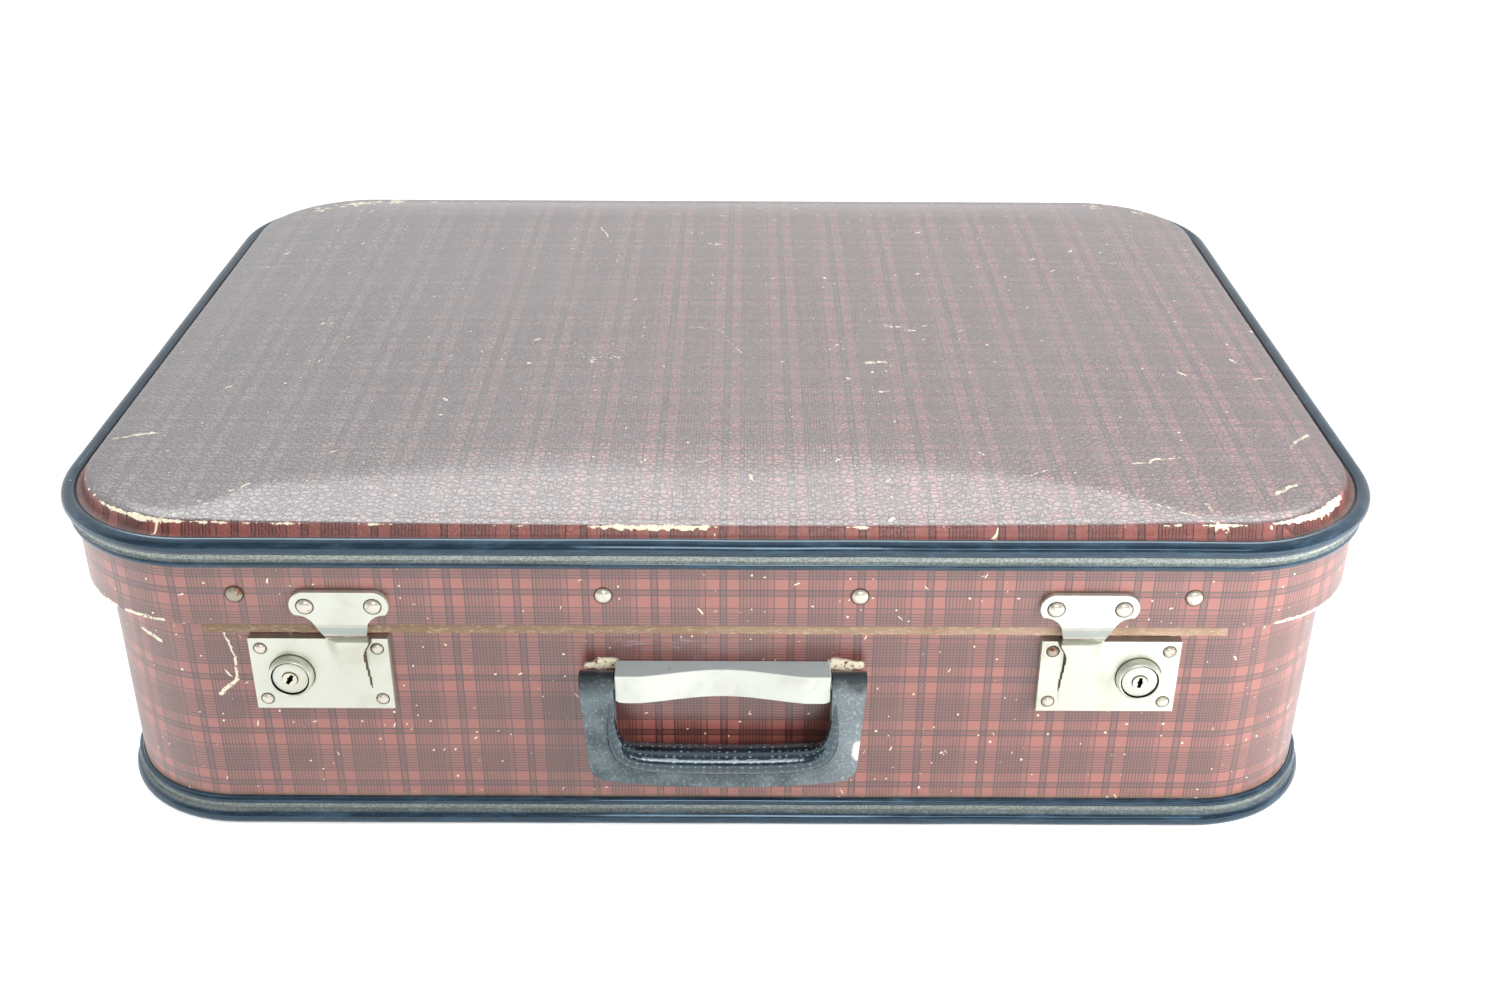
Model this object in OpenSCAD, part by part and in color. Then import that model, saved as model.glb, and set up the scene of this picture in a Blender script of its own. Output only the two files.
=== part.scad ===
// A hinged fibreboard travelling case with a telescoping lid, two key locks and a swinging handle.
// Millimetres. +Z is up, the front with the handle faces -Y, the origin is the middle of the bottom.

/* [Case] */
// Outer width of the lid wall
lid_width = 558; // [420:1:800]
// Outer depth of the lid wall
lid_depth = 418; // [300:1:600]
// Corner radius of the lid wall, seen from above
lid_corner = 64; // [40:1:100]
// Thickness of the fibreboard walls
board = 3; // [2:0.1:4]
// Space between the lid wall and the base wall
lid_gap = 5; // [4.5:0.1:8]
// Height of the lid wall's lower edge
seam_z = 109.5; // [100:0.5:200]
// Distance of the outer strip rivets from the lid's side
strip_rivet_from_side = 81; // [74:1:88]
// Distance of the inner strip rivet to the left of the handle's middle
strip_rivet_left = 49.3; // [30:0.1:60]
// Distance of the inner strip rivet to the right of the handle's middle
strip_rivet_right = 56.7; // [30:0.1:60]
// How far the base wall reaches up into the lid
overlap = 7.5; // [5:0.5:9]
// Height of the lid wall
lid_height = 38; // [34:1:80]
// Rise of the lid panel's pressed shoulder
shoulder_rise = 6.5; // [4:0.5:10]
// Rise of the lid panel's crown above its shoulder
crown = 3.5; // [0:0.5:8]
// Thickness of the paper lining
lining = 0.6; // [0.4:0.1:1]

/* [Piping] */
// Radius of the large bead
bead_r = 3.75; // [3:0.05:5]
// Radius of the small bead
small_bead_r = 1.9; // [1.2:0.05:2.5]
// Height between the two bead centres
bead_pitch = 8.3; // [6:0.1:12]

/* [Locks] */
// Distance of each lock case's middle from the lid's side
lock_from_side = 111.4; // [100:0.1:130]
// Width of a lock case
lock_width = 59; // [54:0.5:75]
// Height of a lock case
lock_height = 35.7; // [30:0.1:50]
// How far a lock case stands out of the wall
lock_proud = 4; // [3.6:0.1:6]
// Thickness of the lock and hasp sheet
sheet = 0.8; // [0.6:0.1:1]
// Outboard offset of the keyhole from the lock case's middle
key_offset = 12.7; // [10:0.1:15]
// Inboard offset of the hasp from the lock case's middle
hasp_offset = 12.6; // [10:0.1:15]
// Width of the hasp tongue
tongue_width = 17.6; // [12:0.1:20]
// Eccentric radius of the key cam
cam_r = 2.8; // [2:0.1:3]

/* [Handle] */
// Sideways position of the handle's middle
handle_x = 3.3; // [-20:0.1:20]
// Width between the handle's legs
grip_width = 92.6; // [80:0.1:130]
// Width of each leg
leg_width = 14.7; // [10:0.1:20]
// Height from the pivot to the grip's underside
handle_drop = 49.5; // [42:0.1:90]
// Height of the grip
grip_height = 15.5; // [12:0.1:25]
// Distance of the pivot from the wall
pivot_out = 8; // [7.6:0.1:12]
// How much each leg narrows towards the grip
leg_taper = 3.5; // [0:0.1:6]
// Sag of the grip's underside at its middle
grip_sag = 5; // [2:0.1:8]
// Radius of the inner corners beside the grip
grip_fillet = 8; // [4:0.1:10]
// Thickness of the grip, front to back
grip_depth = 14.8; // [12:0.1:20]
// Length of the backing plate inside the wall
backing_length = 80; // [74:1:110]
// Height of the backing plate inside the wall
backing_height = 12; // [10:1:20]

/* [Hinges] */
// Distance of each hinge's middle from the lid's side
hinge_from_side = 114; // [95:1:140]
// Length of a hinge
hinge_length = 40; // [30:1:60]
// Outer radius of the hinge barrel
barrel_r = 3.2; // [2.8:0.1:4]

/* [Hidden] */
$fn = 72;
fit = 0.05;
step_in = board + lid_gap;
base_width = lid_width - 2 * step_in;
base_depth = lid_depth - 2 * step_in;
base_corner = lid_corner - step_in;
base_top = seam_z + overlap;
lid_top = seam_z + lid_height;
rim_top = lid_top + 2.5;
front_base = -base_depth / 2;
front_lid = -lid_depth / 2;
back_base = base_depth / 2;
back_lid = lid_depth / 2;
liner_y = front_base + board + lining;
batten = 3;
batten_half = lid_width / 2 - lid_corner;
batten_top = base_top + 16;
batten_back = front_base + board;
strip_bottom = seam_z - 5.7;
strip_rivet_z = base_top + 7.5;
strip_rivet_out = lid_width / 2 - strip_rivet_from_side;
strip_rivet_x = [-strip_rivet_out, handle_x - strip_rivet_left,
    handle_x + strip_rivet_right, strip_rivet_out];
lock_x = lid_width / 2 - lock_from_side;
hinge_x = lid_width / 2 - hinge_from_side;
far = lid_width;
lock_top = seam_z - 9.3;
lock_mid = lock_top - lock_height / 2;
lock_front = front_base - lock_proud;
lock_rivet_dx = lock_width / 2 - 4.8;
lock_rivet_dz = lock_height / 2 - 5;
bulge = 3;
bulge_half = tongue_width / 2 + 0.6;
key_x = lock_x + key_offset;
hasp_x = lock_x - hasp_offset;
hasp_thick = 2.4;
hasp_rivet_dx = 14;
hasp_ear_r = 6.5;
hasp_rivet_z = base_top + 3.2;
collar_r = 9.5;
disc_r = 7.9;
plug_r = 3.1;
boss_proud = 4.4;
bolt_travel = 2 * cam_r * sin(45);
tongue_back = front_base - 3;
lip_z = lock_top - 16;
bolt_low = lip_z + 2.2;
pivot_y = front_base - pivot_out;
bracket_top = seam_z - 22.3;
pivot_z = bracket_top - 7.2;
bracket_half = grip_width / 2 - 0.6;
bracket_height = 13.8;
bracket_deep = pivot_out + 4.5;
bracket_mid = 7;
bracket_back = 1;
bracket_bow = bracket_deep - bracket_mid;
bracket_arc = (bracket_half * bracket_half + bracket_bow * bracket_bow) / (2 * bracket_bow);
handle_rivet_dx = 32;
handle_rivet_z = bracket_top - 8.5;
pin_r = 2;
pin_length = 11;
grip_foot = pivot_z - handle_drop;
hinge_y = back_lid + barrel_r + 0.6;
hinge_z = seam_z - 3;
leaf = 1.2;
knuckle = (hinge_length - 0.6) / 3;
crank_z = hinge_z - 9.5;
hinge_rivet_dx = hinge_length / 2 - 7;
rivet_r = 1.5;

// Rounded rectangle from squares and circles, so its corners stay true arcs
module rounded(w, d, r) {
    square([w - 2 * r, d], center = true);
    square([w, d - 2 * r], center = true);
    for (x = [-1, 1], y = [-1, 1])
        translate([x * (w / 2 - r), y * (d / 2 - r)]) circle(r);
}

module slab(w, d, r, z0, z1) {
    translate([0, 0, z0]) linear_extrude(z1 - z0) rounded(w, d, r);
}

// Upright wall of thickness t on a rounded rectangle
module wall(w, d, r, t, z0, z1) {
    difference() {
        slab(w, d, r, z0, z1);
        slab(w - 2 * t, d - 2 * t, r - t, z0 - 1, z1 + 1);
    }
}

// Carries a profile round a rounded rectangle; profile X points outwards, profile Y up
module swept(w, d, r) {
    for (turn = [0, 180]) rotate(turn) {
        translate([w / 2 - r, -d / 2, 0]) rotate([90, 0, -90]) linear_extrude(w - 2 * r) children();
        translate([w / 2, d / 2 - r, 0]) rotate([90, 0, 0]) linear_extrude(d - 2 * r) children();
        translate([w / 2 - r, d / 2 - r, 0]) rotate_extrude(angle = 90) translate([r, 0]) children();
        translate([r - w / 2, d / 2 - r, 0]) rotate(90)
            rotate_extrude(angle = 90) translate([r, 0]) children();
    }
}

// Large bead, web and small bead; side is 1 with the small bead below, -1 with it above
module piping_profile(z, side, cut_low, cut_high) {
    difference() {
        union() {
            translate([1, z]) circle(bead_r);
            translate([0.6, z - side * bead_pitch]) circle(small_bead_r);
            translate([-1, min(z, z - side * bead_pitch)]) square([2, bead_pitch]);
        }
        translate([-20, cut_low]) square([20, cut_high - cut_low]);
    }
}

// Points the local +Z out of the front or out of the back
module facing_front(x, y, z) { translate([x, y, z]) rotate([90, 0, 0]) children(); }
module facing_back(x, y, z) { translate([x, y, z]) rotate([-90, 0, 0]) children(); }

// Profile drawn in Y and Z, pushed along +X from x by len
module along_x(x, len) { translate([x, 0, 0]) rotate([90, 0, 90]) linear_extrude(len) children(); }

// Outline drawn in X and Z, pushed from y0 back to y1
module along_y(y0, y1) {
    translate([0, y1, 0]) rotate([90, 0, 0]) linear_extrude(y1 - y0) children();
}

// Domed rivet: the head sits on local z = 0, the clenched end at z = -grip
module rivet(head_r, head_h, grip) {
    ball = (head_r * head_r + head_h * head_h) / (2 * head_h);
    intersection() {
        translate([0, 0, head_h - ball]) sphere(ball);
        cylinder(r = head_r + 1, h = head_h + 1);
    }
    translate([0, 0, -grip]) cylinder(r = rivet_r, h = grip + head_h / 2);
    translate([0, 0, -grip - 0.8]) cylinder(r = rivet_r + 1.5, h = 0.8);
}

module bore(length) { translate([0, 0, -length]) cylinder(r = rivet_r + fit, h = length + 20); }

// Closed loop of points on a rounded rectangle, evenly split on corners and straights
function arc_pts(cx, cy, r, a0) = [for (k = [0:6]) [cx + r * cos(a0 + 15 * k), cy + r * sin(a0 + 15 * k)]];
function mid_pts(p, q) = [for (k = [1:3]) p + (q - p) * k / 4];
function loop_pts(w, d, r) =
    let (x = w / 2 - r, y = d / 2 - r,
         a = arc_pts(x, y, r, 0), b = arc_pts(-x, y, r, 90),
         c = arc_pts(-x, -y, r, 180), e = arc_pts(x, -y, r, 270))
    concat(a, mid_pts(a[6], b[0]), b, mid_pts(b[6], c[0]), c, mid_pts(c[6], e[0]), e, mid_pts(e[6], a[0]));
function inset_loop(i) = loop_pts(lid_width - 2 * i, lid_depth - 2 * i, lid_corner - i);

// Crown over the panel: a product of two flat parabolas
function crown_z(p, w, d) = crown * (1 - pow(2 * p[0] / w, 2)) * (1 - pow(2 * p[1] / d, 2));

// One skin of the pressed panel: shoulder rings by inset, then rings shrinking to the middle
function skin(profile, shrink) =
    let (last = profile[len(profile) - 1], edge = inset_loop(last[0]),
         w = lid_width - 2 * last[0], d = lid_depth - 2 * last[0])
    concat(
        [for (s = profile) for (p = inset_loop(s[0])) [p[0], p[1], s[1]]],
        [for (t = shrink) for (p = edge) [p[0] * t, p[1] * t, last[1] + crown_z(p * t, w, d)]],
        [[0, 0, last[1] + crown]]);

module pressed_shell(upper, lower) {
    shrink = [0.97, 0.9, 0.78, 0.6, 0.4, 0.2];
    n = len(inset_loop(0));
    rings = len(upper) + len(shrink);
    top = skin(upper, shrink);
    under = skin(lower, shrink);
    m = len(top);
    polyhedron(points = concat(top, under), faces = concat(
        [for (r = [0:rings - 2], k = [0:n - 1]) [r * n + k, (r + 1) * n + k, (r + 1) * n + (k + 1) % n]],
        [for (r = [0:rings - 2], k = [0:n - 1]) [r * n + k, (r + 1) * n + (k + 1) % n, r * n + (k + 1) % n]],
        [for (k = [0:n - 1]) [(rings - 1) * n + k, m - 1, (rings - 1) * n + (k + 1) % n]],
        [for (r = [0:rings - 2], k = [0:n - 1])
            [m + r * n + k, m + (r + 1) * n + (k + 1) % n, m + (r + 1) * n + k]],
        [for (r = [0:rings - 2], k = [0:n - 1])
            [m + r * n + k, m + r * n + (k + 1) % n, m + (r + 1) * n + (k + 1) % n]],
        [for (k = [0:n - 1]) [m + (rings - 1) * n + k, m + (rings - 1) * n + (k + 1) % n, 2 * m - 1]],
        [for (k = [0:n - 1]) [k, (k + 1) % n, m + (k + 1) % n]],
        [for (k = [0:n - 1]) [k, m + (k + 1) % n, m + k]]));
}

// Height of the panel's skins over its shoulder, as inset and height
function upper_profile() = [[0, rim_top], [4, rim_top], [4.7, rim_top + 0.2 * shoulder_rise],
    [5.5, rim_top + 0.6 * shoulder_rise], [6.6, rim_top + 0.82 * shoulder_rise],
    [9, rim_top + 0.95 * shoulder_rise], [14, rim_top + shoulder_rise]];
function lower_profile() = [for (s = upper_profile())
    s[0] < 4.5 ? [s[0] * 1.5, lid_top] : [s[0] + 1.8, s[1] - 2.3]];
function liner_profile() = [for (s = lower_profile())
    s[0] < 0.1 ? [board + lining, lid_top - lining] : [max(s[0], board + lining + 1), s[1] - lining]];
function liner_roof() = [for (s = lower_profile())
    s[0] < 0.1 ? [board + lining, lid_top] : [max(s[0], board + lining + 1), s[1]]];

// Bores through the front of the base for the locks and the handle bracket
module base_front_bores() {
    for (side = [-1, 1], dx = [-1, 1], dz = [-1, 1])
        facing_front(side * lock_x + dx * lock_rivet_dx, front_base, lock_mid + dz * lock_rivet_dz) bore(20);
    for (dx = [-1, 1])
        facing_front(handle_x + dx * handle_rivet_dx, front_base, handle_rivet_z) bore(20);
}

module base_back_bores() {
    for (side = [-1, 1], dx = [-1, 1])
        facing_back(side * hinge_x + dx * hinge_rivet_dx, back_base, crank_z - 10) bore(20);
}

module lid_front_bores() {
    for (x = strip_rivet_x) facing_front(x, front_lid, strip_rivet_z) bore(20);
    for (side = [-1, 1], dx = [-1, 1])
        facing_front(side * hasp_x + dx * hasp_rivet_dx, front_lid, hasp_rivet_z) bore(20);
}

module lid_back_bores() {
    for (side = [-1, 1], dx = [-1, 1])
        facing_back(side * hinge_x + dx * hinge_rivet_dx, back_lid, seam_z + 13) bore(20);
}

module base_band() {
    color("#7a3a30") difference() {
        wall(base_width, base_depth, base_corner, board, board, base_top);
        base_front_bores();
        base_back_bores();
    }
}

module bottom_panel() {
    color("#7a3a30") slab(base_width, base_depth, base_corner, 0, board);
}

module bottom_piping() {
    color("#1b1b1e") swept(base_width, base_depth, base_corner)
        piping_profile(bead_r, -1, -1, 60);
}

module base_lining() {
    color("#cbb994") difference() {
        union() {
            wall(base_width - 2 * board, base_depth - 2 * board, base_corner - board, lining,
                board + lining, base_top);
            slab(base_width - 2 * board, base_depth - 2 * board, base_corner - board, board, board + lining);
        }
        base_front_bores();
        base_back_bores();
    }
}

// Plan of the bracket: a block whose front is hollowed by a large arc
module bracket_plan(inset, front) {
    difference() {
        translate([-bracket_half + inset, front_base - bracket_deep])
            square([2 * (bracket_half - inset), bracket_deep]);
        translate([0, front_base - bracket_mid - bracket_arc]) circle(bracket_arc + front, $fn = 200);
    }
}

module handle_bracket() {
    low = bracket_top - bracket_height;
    color("#c9c7bf") difference() {
        translate([handle_x, 0, low]) linear_extrude(bracket_height) bracket_plan(0, 0);
        intersection() {
            translate([handle_x, 0, low - 1])
                linear_extrude(bracket_height - leaf + 1) bracket_plan(leaf, leaf);
            translate([-far, front_base - bracket_back - far, 0]) cube([2 * far, far, far]);
        }
        along_x(-far, 2 * far) translate([pivot_y, pivot_z]) circle(pin_r + fit);
        for (dx = [-1, 1])
            facing_front(handle_x + dx * handle_rivet_dx, front_base - bracket_back, handle_rivet_z)
                translate([0, 0, -3]) cylinder(r = rivet_r + fit, h = 3.5);
    }
}

module handle_backing_plate() {
    color("#a8a6a0") difference() {
        translate([handle_x - backing_length / 2, liner_y, handle_rivet_z - backing_height / 2])
            cube([backing_length, bracket_back, backing_height]);
        base_front_bores();
    }
}

module handle_bracket_rivets() {
    color("#b8b2a6") for (dx = [-1, 1])
        facing_front(handle_x + dx * handle_rivet_dx, front_base - bracket_back, handle_rivet_z)
            rivet(3, 1.6, 2 * bracket_back + board + lining);
}

// A lock with its keyhole on the +X side; side -1 mirrors it
module sided(side) { if (side > 0) children(); else mirror([1, 0, 0]) children(); }

module lock_case(side) {
    left = hasp_x - bulge_half;
    color("#cfcdc4") sided(side) difference() {
        union() {
            translate([lock_x - lock_width / 2, lock_front, lock_top - lock_height])
                cube([lock_width, lock_proud, lock_height]);
            along_x(left, 2 * bulge_half) polygon([[front_base - 1, lock_top], [lock_front - bulge, lock_top],
                [lock_front, lock_top - lock_height + 2], [front_base - 1, lock_top - lock_height + 2]]);
        }
        difference() {
            translate([lock_x - lock_width / 2 + sheet, lock_front + sheet, lock_top - lock_height + sheet])
                cube([lock_width - 2 * sheet, lock_proud, lock_height - 2 * sheet]);
            for (z = [bolt_low - 1.3, bolt_low + 7.2])
                translate([hasp_x + bulge_half + 1, lock_front, z]) cube([5, lock_proud, 1]);
        }
        along_x(left + sheet / 2, 2 * bulge_half - sheet) polygon([
            [front_base + 1, lock_top + 1], [lock_front - bulge + sheet, lock_top + 1],
            [lock_front - bulge + sheet, lock_top], [lock_front + sheet, lock_top - lock_height + 4],
            [front_base + 1, lock_top - lock_height + 4]]);
        facing_front(key_x, lock_front, lock_mid) translate([0, 0, -2]) cylinder(r = plug_r + fit, h = 4);
        for (dx = [-1, 1], dz = [-1, 1])
            facing_front(lock_x + dx * lock_rivet_dx, lock_front, lock_mid + dz * lock_rivet_dz) bore(6);
    }
}

module lock_collar(side) {
    color("#d8d6cf") sided(side) facing_front(key_x, lock_front, lock_mid) difference() {
        union() {
            cylinder(r = collar_r, h = boss_proud - 1.2);
            translate([0, 0, boss_proud - 1.2]) cylinder(r1 = collar_r, r2 = collar_r - 0.9, h = 1.2);
        }
        translate([0, 0, -1]) cylinder(r = disc_r + fit, h = boss_proud + 2);
    }
}

module lock_disc(side) {
    color("#c4c1b8") sided(side) facing_front(key_x, lock_front, lock_mid) difference() {
        union() {
            cylinder(r = disc_r, h = boss_proud - 0.9);
            translate([0, 0, boss_proud - 0.9]) cylinder(r1 = disc_r, r2 = disc_r - 0.7, h = 0.9);
        }
        translate([0, 0, -1]) cylinder(r = plug_r + fit, h = boss_proud + 2);
    }
}

module lock_backplate(side) {
    color("#a8a6a0") sided(side) difference() {
        translate([lock_x - lock_width / 2, liner_y, lock_top - lock_height])
            cube([lock_width, sheet, lock_height]);
        for (dx = [-1, 1], dz = [-1, 1])
            facing_front(lock_x + dx * lock_rivet_dx, liner_y, lock_mid + dz * lock_rivet_dz) bore(6);
    }
}

module lock_rivets(side) {
    color("#b8b2a6") sided(side) for (dx = [-1, 1], dz = [-1, 1])
        facing_front(lock_x + dx * lock_rivet_dx, lock_front, lock_mid + dz * lock_rivet_dz)
            rivet(2.5, 1.3, lock_proud + board + lining + sheet);
}

// Sliding bolt; at rest it is drawn clear of the tongue, and the cam pin sits in its notch
module lock_bolt(side) {
    nose = hasp_x + tongue_width / 2 + 0.8;
    tail = key_x + 4;
    pin_x = key_x + cam_r * sin(45);
    thick = lock_proud - sheet - 0.6;
    color("#9a9890") sided(side) difference() {
        union() {
            translate([nose, front_base - 0.3 - thick, bolt_low]) cube([tail - nose, thick, 6.9]);
            translate([key_x - 3, front_base - 0.3 - thick, lock_mid + 1])
                cube([7, thick, bolt_low - lock_mid]);
        }
        translate([pin_x - 1.3, front_base - 10, lock_mid - 1]) cube([2.6, 20, cam_r + 2.4]);
    }
}

module key_plug(side) {
    color("#bfae7c") sided(side) {
        difference() {
            facing_front(key_x, lock_front, lock_mid) translate([0, 0, -sheet - 0.2])
                cylinder(r = plug_r, h = boss_proud + sheet + 0.5);
            translate([key_x - 0.6, lock_front - boss_proud - 1, lock_mid - 2.3]) cube([1.2, 4, 4.6]);
        }
        facing_front(key_x + cam_r * sin(45), lock_front, lock_mid + cam_r * cos(45))
            translate([0, 0, -lock_proud + 0.4]) cylinder(r = 0.9, h = lock_proud - sheet - 0.4);
    }
}

module hinge_base_leaf(side) {
    color("#a9a7a0") difference() {
        union() {
            along_x(side * hinge_x - hinge_length / 2, hinge_length) polygon([
                [back_base, crank_z - 18], [back_base + leaf, crank_z - 18],
                [back_base + leaf, crank_z - leaf],
                [back_lid + 0.6 + leaf, crank_z - leaf], [back_lid + 0.6 + leaf, crank_z + 3],
                [back_lid + 0.6, crank_z + 3], [back_lid + 0.6, crank_z], [back_base, crank_z]]);
            for (x = [0, 2]) translate([side * hinge_x - hinge_length / 2 + x * (knuckle + 0.3), 0, 0]) {
                along_x(0, knuckle) translate([back_lid + 0.6, crank_z])
                    square([leaf, hinge_z - crank_z]);
                along_x(0, knuckle) translate([hinge_y, hinge_z]) circle(barrel_r);
            }
        }
        along_x(-far, 2 * far) translate([hinge_y, hinge_z]) circle(rivet_r + fit);
        for (dx = [-1, 1])
            facing_back(side * hinge_x + dx * hinge_rivet_dx, back_base, crank_z - 10) bore(20);
    }
}

module hinge_lid_leaf(side) {
    color("#a9a7a0") difference() {
        union() {
            translate([side * hinge_x - hinge_length / 2, back_lid, seam_z + 0.4])
                cube([hinge_length, leaf, 19]);
            translate([side * hinge_x - knuckle / 2, 0, 0]) {
                along_x(0, knuckle) translate([back_lid, hinge_z]) square([leaf, 8]);
                along_x(0, knuckle) translate([hinge_y, hinge_z]) circle(barrel_r);
            }
        }
        along_x(-far, 2 * far) translate([hinge_y, hinge_z]) circle(rivet_r + fit);
        for (dx = [-1, 1])
            facing_back(side * hinge_x + dx * hinge_rivet_dx, back_lid, seam_z + 13) bore(20);
    }
}

module hinge_pin(side) {
    color("#b8b2a6") {
        along_x(side * hinge_x - hinge_length / 2, hinge_length)
            translate([hinge_y, hinge_z]) circle(rivet_r);
        for (x = [-hinge_length / 2 - 0.8, hinge_length / 2])
            along_x(side * hinge_x + x, 0.8) translate([hinge_y, hinge_z]) circle(rivet_r + 0.9);
    }
}

module hinge_base_rivets(side) {
    color("#b8b2a6") for (dx = [-1, 1])
        facing_back(side * hinge_x + dx * hinge_rivet_dx, back_base + leaf, crank_z - 10)
            rivet(2.7, 1.3, leaf + board + lining);
}

module hinge_lid_rivets(side) {
    color("#b8b2a6") for (dx = [-1, 1])
        facing_back(side * hinge_x + dx * hinge_rivet_dx, back_lid + leaf, seam_z + 13)
            rivet(2.7, 1.3, leaf + board + lining);
}

module lid_band() {
    color("#7a3a30") difference() {
        wall(lid_width, lid_depth, lid_corner, board, seam_z, lid_top);
        lid_front_bores();
        lid_back_bores();
    }
}

module lid_panel() {
    color("#8a5148") pressed_shell(upper_profile(), lower_profile());
}

module lid_piping() {
    color("#1b1b1e") swept(lid_width, lid_depth, lid_corner)
        piping_profile(lid_top + 0.7, 1, 0, rim_top);
}

module lid_lining() {
    color("#cbb994") pressed_shell(liner_roof(), liner_profile());
}

module lid_wall_lining() {
    color("#cbb994") difference() {
        wall(lid_width - 2 * board, lid_depth - 2 * board, lid_corner - board, lining, seam_z + 2, lid_top);
        translate([-batten_half - 0.3, front_lid, seam_z])
            cube([2 * batten_half + 0.6, 20, batten_top - seam_z]);
        lid_back_bores();
    }
}

// Rebated strip riveted inside the lid's front wall; its shoulder rests on the base wall
module front_strip() {
    color("#b39565") difference() {
        along_x(-batten_half, 2 * batten_half) polygon([
            [front_lid + board, strip_bottom], [front_lid + board + batten, strip_bottom],
            [front_lid + board + batten, base_top + 0.3], [batten_back, base_top + 0.3],
            [batten_back, batten_top], [front_lid + board, batten_top]]);
        lid_front_bores();
    }
}

module strip_rivets() {
    color("#b8b2a6") for (x = strip_rivet_x)
        facing_front(x, front_lid, strip_rivet_z) rivet(3.5, 1.6, batten_back - front_lid);
}

// Face of the hasp's flange: two rounded ears sweeping in to a neck
module hasp_flange_face() {
    neck = tongue_width / 2 + 1.6;
    sweep_r = 8;
    difference() {
        union() {
            for (dx = [-1, 1]) translate([dx * hasp_rivet_dx, hasp_rivet_z + 0.2]) circle(hasp_ear_r);
            translate([-hasp_rivet_dx, hasp_rivet_z - 4]) square([2 * hasp_rivet_dx, 4.2 + hasp_ear_r]);
            translate([-neck - 6, seam_z - 1]) square([2 * neck + 12, hasp_rivet_z - seam_z]);
        }
        for (dx = [-1, 1]) translate([dx * (neck + sweep_r), seam_z - 1.5]) circle(sweep_r);
    }
}

// Face of the tongue below it
module hasp_tongue_face() {
    neck = tongue_width / 2 + 1.6;
    half = tongue_width / 2;
    polygon([[-neck, seam_z + 4], [neck, seam_z + 4], [neck, seam_z - 1.5], [half, strip_bottom - 1],
        [half, lip_z], [-half, lip_z], [-half, strip_bottom - 1], [-neck, seam_z - 1.5]]);
}

// Side of the hasp: flat on the lid, stepping in under the strip, with a lip behind the lock's bolt
module hasp_side() {
    out = front_lid - hasp_thick;
    along_x(-far, 2 * far) polygon([
        [front_lid, hasp_rivet_z + 8], [out, hasp_rivet_z + 8], [out, seam_z + 1.8],
        [front_lid + 1.3, strip_bottom], [tongue_back - 1.2, lock_top - 0.6],
        [tongue_back - 1.2, lip_z], [front_base - 0.9, lip_z], [front_base - 0.9, lip_z + 1.2],
        [tongue_back, lip_z + 1.2], [tongue_back, lock_top],
        [front_lid + board - 0.4, strip_bottom + 0.4], [front_lid, seam_z - 0.2]]);
}

module hasp(side) {
    color("#cfcdc4") translate([side * hasp_x, 0, 0]) difference() {
        union() {
            intersection() {
                along_y(front_lid - far, front_base) hasp_flange_face();
                hasp_side();
            }
            intersection() {
                along_y(front_lid - far, front_base) hasp_tongue_face();
                hasp_side();
            }
        }
        for (dx = [-1, 1]) facing_front(dx * hasp_rivet_dx, front_lid, hasp_rivet_z) bore(20);
    }
}

module hasp_rivets(side) {
    color("#b8b2a6") for (dx = [-1, 1])
        facing_front(side * hasp_x + dx * hasp_rivet_dx, front_lid - hasp_thick, hasp_rivet_z)
            rivet(3.4, 1.6, hasp_thick + batten_back - front_lid);
}

// Front of the handle: tapering legs, a sagging underside and a window with rounded lower corners
module handle_front() {
    half = grip_width / 2 + leg_width;
    sag_r = (half * half + grip_sag * grip_sag) / (2 * grip_sag);
    rest = grip_foot + grip_height;
    difference() {
        intersection() {
            polygon([[-half, pivot_z + pivot_out], [half, pivot_z + pivot_out],
                [half - leg_taper, grip_foot], [leg_taper - half, grip_foot]]);
            translate([0, grip_foot + sag_r]) circle(sag_r, $fn = 200);
        }
        translate([-grip_width / 2, rest + grip_fillet]) square([grip_width, far]);
        translate([grip_fillet - grip_width / 2, rest]) square([grip_width - 2 * grip_fillet, far]);
        for (x = [-1, 1])
            translate([x * (grip_width / 2 - grip_fillet), rest + grip_fillet]) circle(grip_fillet);
    }
}

module handle() {
    back = front_base - 2.4;
    top_r = pivot_out - 1.2;
    color("#26262a") translate([handle_x, 0, 0]) difference() {
        intersection() {
            along_y(front_base - far, front_base) handle_front();
            along_x(-far, 2 * far) union() {
                translate([pivot_y, pivot_z]) circle(top_r);
                polygon([[pivot_y - top_r, pivot_z], [back - grip_depth + 0.4, grip_foot + grip_height],
                    [back - grip_depth, grip_foot + 5], [back - grip_depth + 3, grip_foot],
                    [back - 3, grip_foot], [back, grip_foot + 3],
                    [back, grip_foot + grip_height], [pivot_y + top_r, pivot_z]]);
            }
        }
        for (x = [-1, 1]) translate([x > 0 ? grip_width / 2 - 1 : -grip_width / 2 - pin_length + 2, 0, 0])
            along_x(0, pin_length - 1) translate([pivot_y, pivot_z]) circle(pin_r + fit);
    }
}

module handle_pins() {
    color("#b8b2a6") translate([handle_x, 0, 0]) for (x = [-1, 1]) mirror([x < 0 ? 1 : 0, 0, 0]) {
        along_x(bracket_half - leaf - 0.1, pin_length - 1) translate([pivot_y, pivot_z]) circle(pin_r);
        along_x(bracket_half - leaf - 1.1, 0.8) translate([pivot_y, pivot_z]) circle(pin_r + 0.5);
        along_x(bracket_half - leaf - 0.4, 0.4) translate([pivot_y, pivot_z]) circle(pin_r);
    }
}

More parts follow.
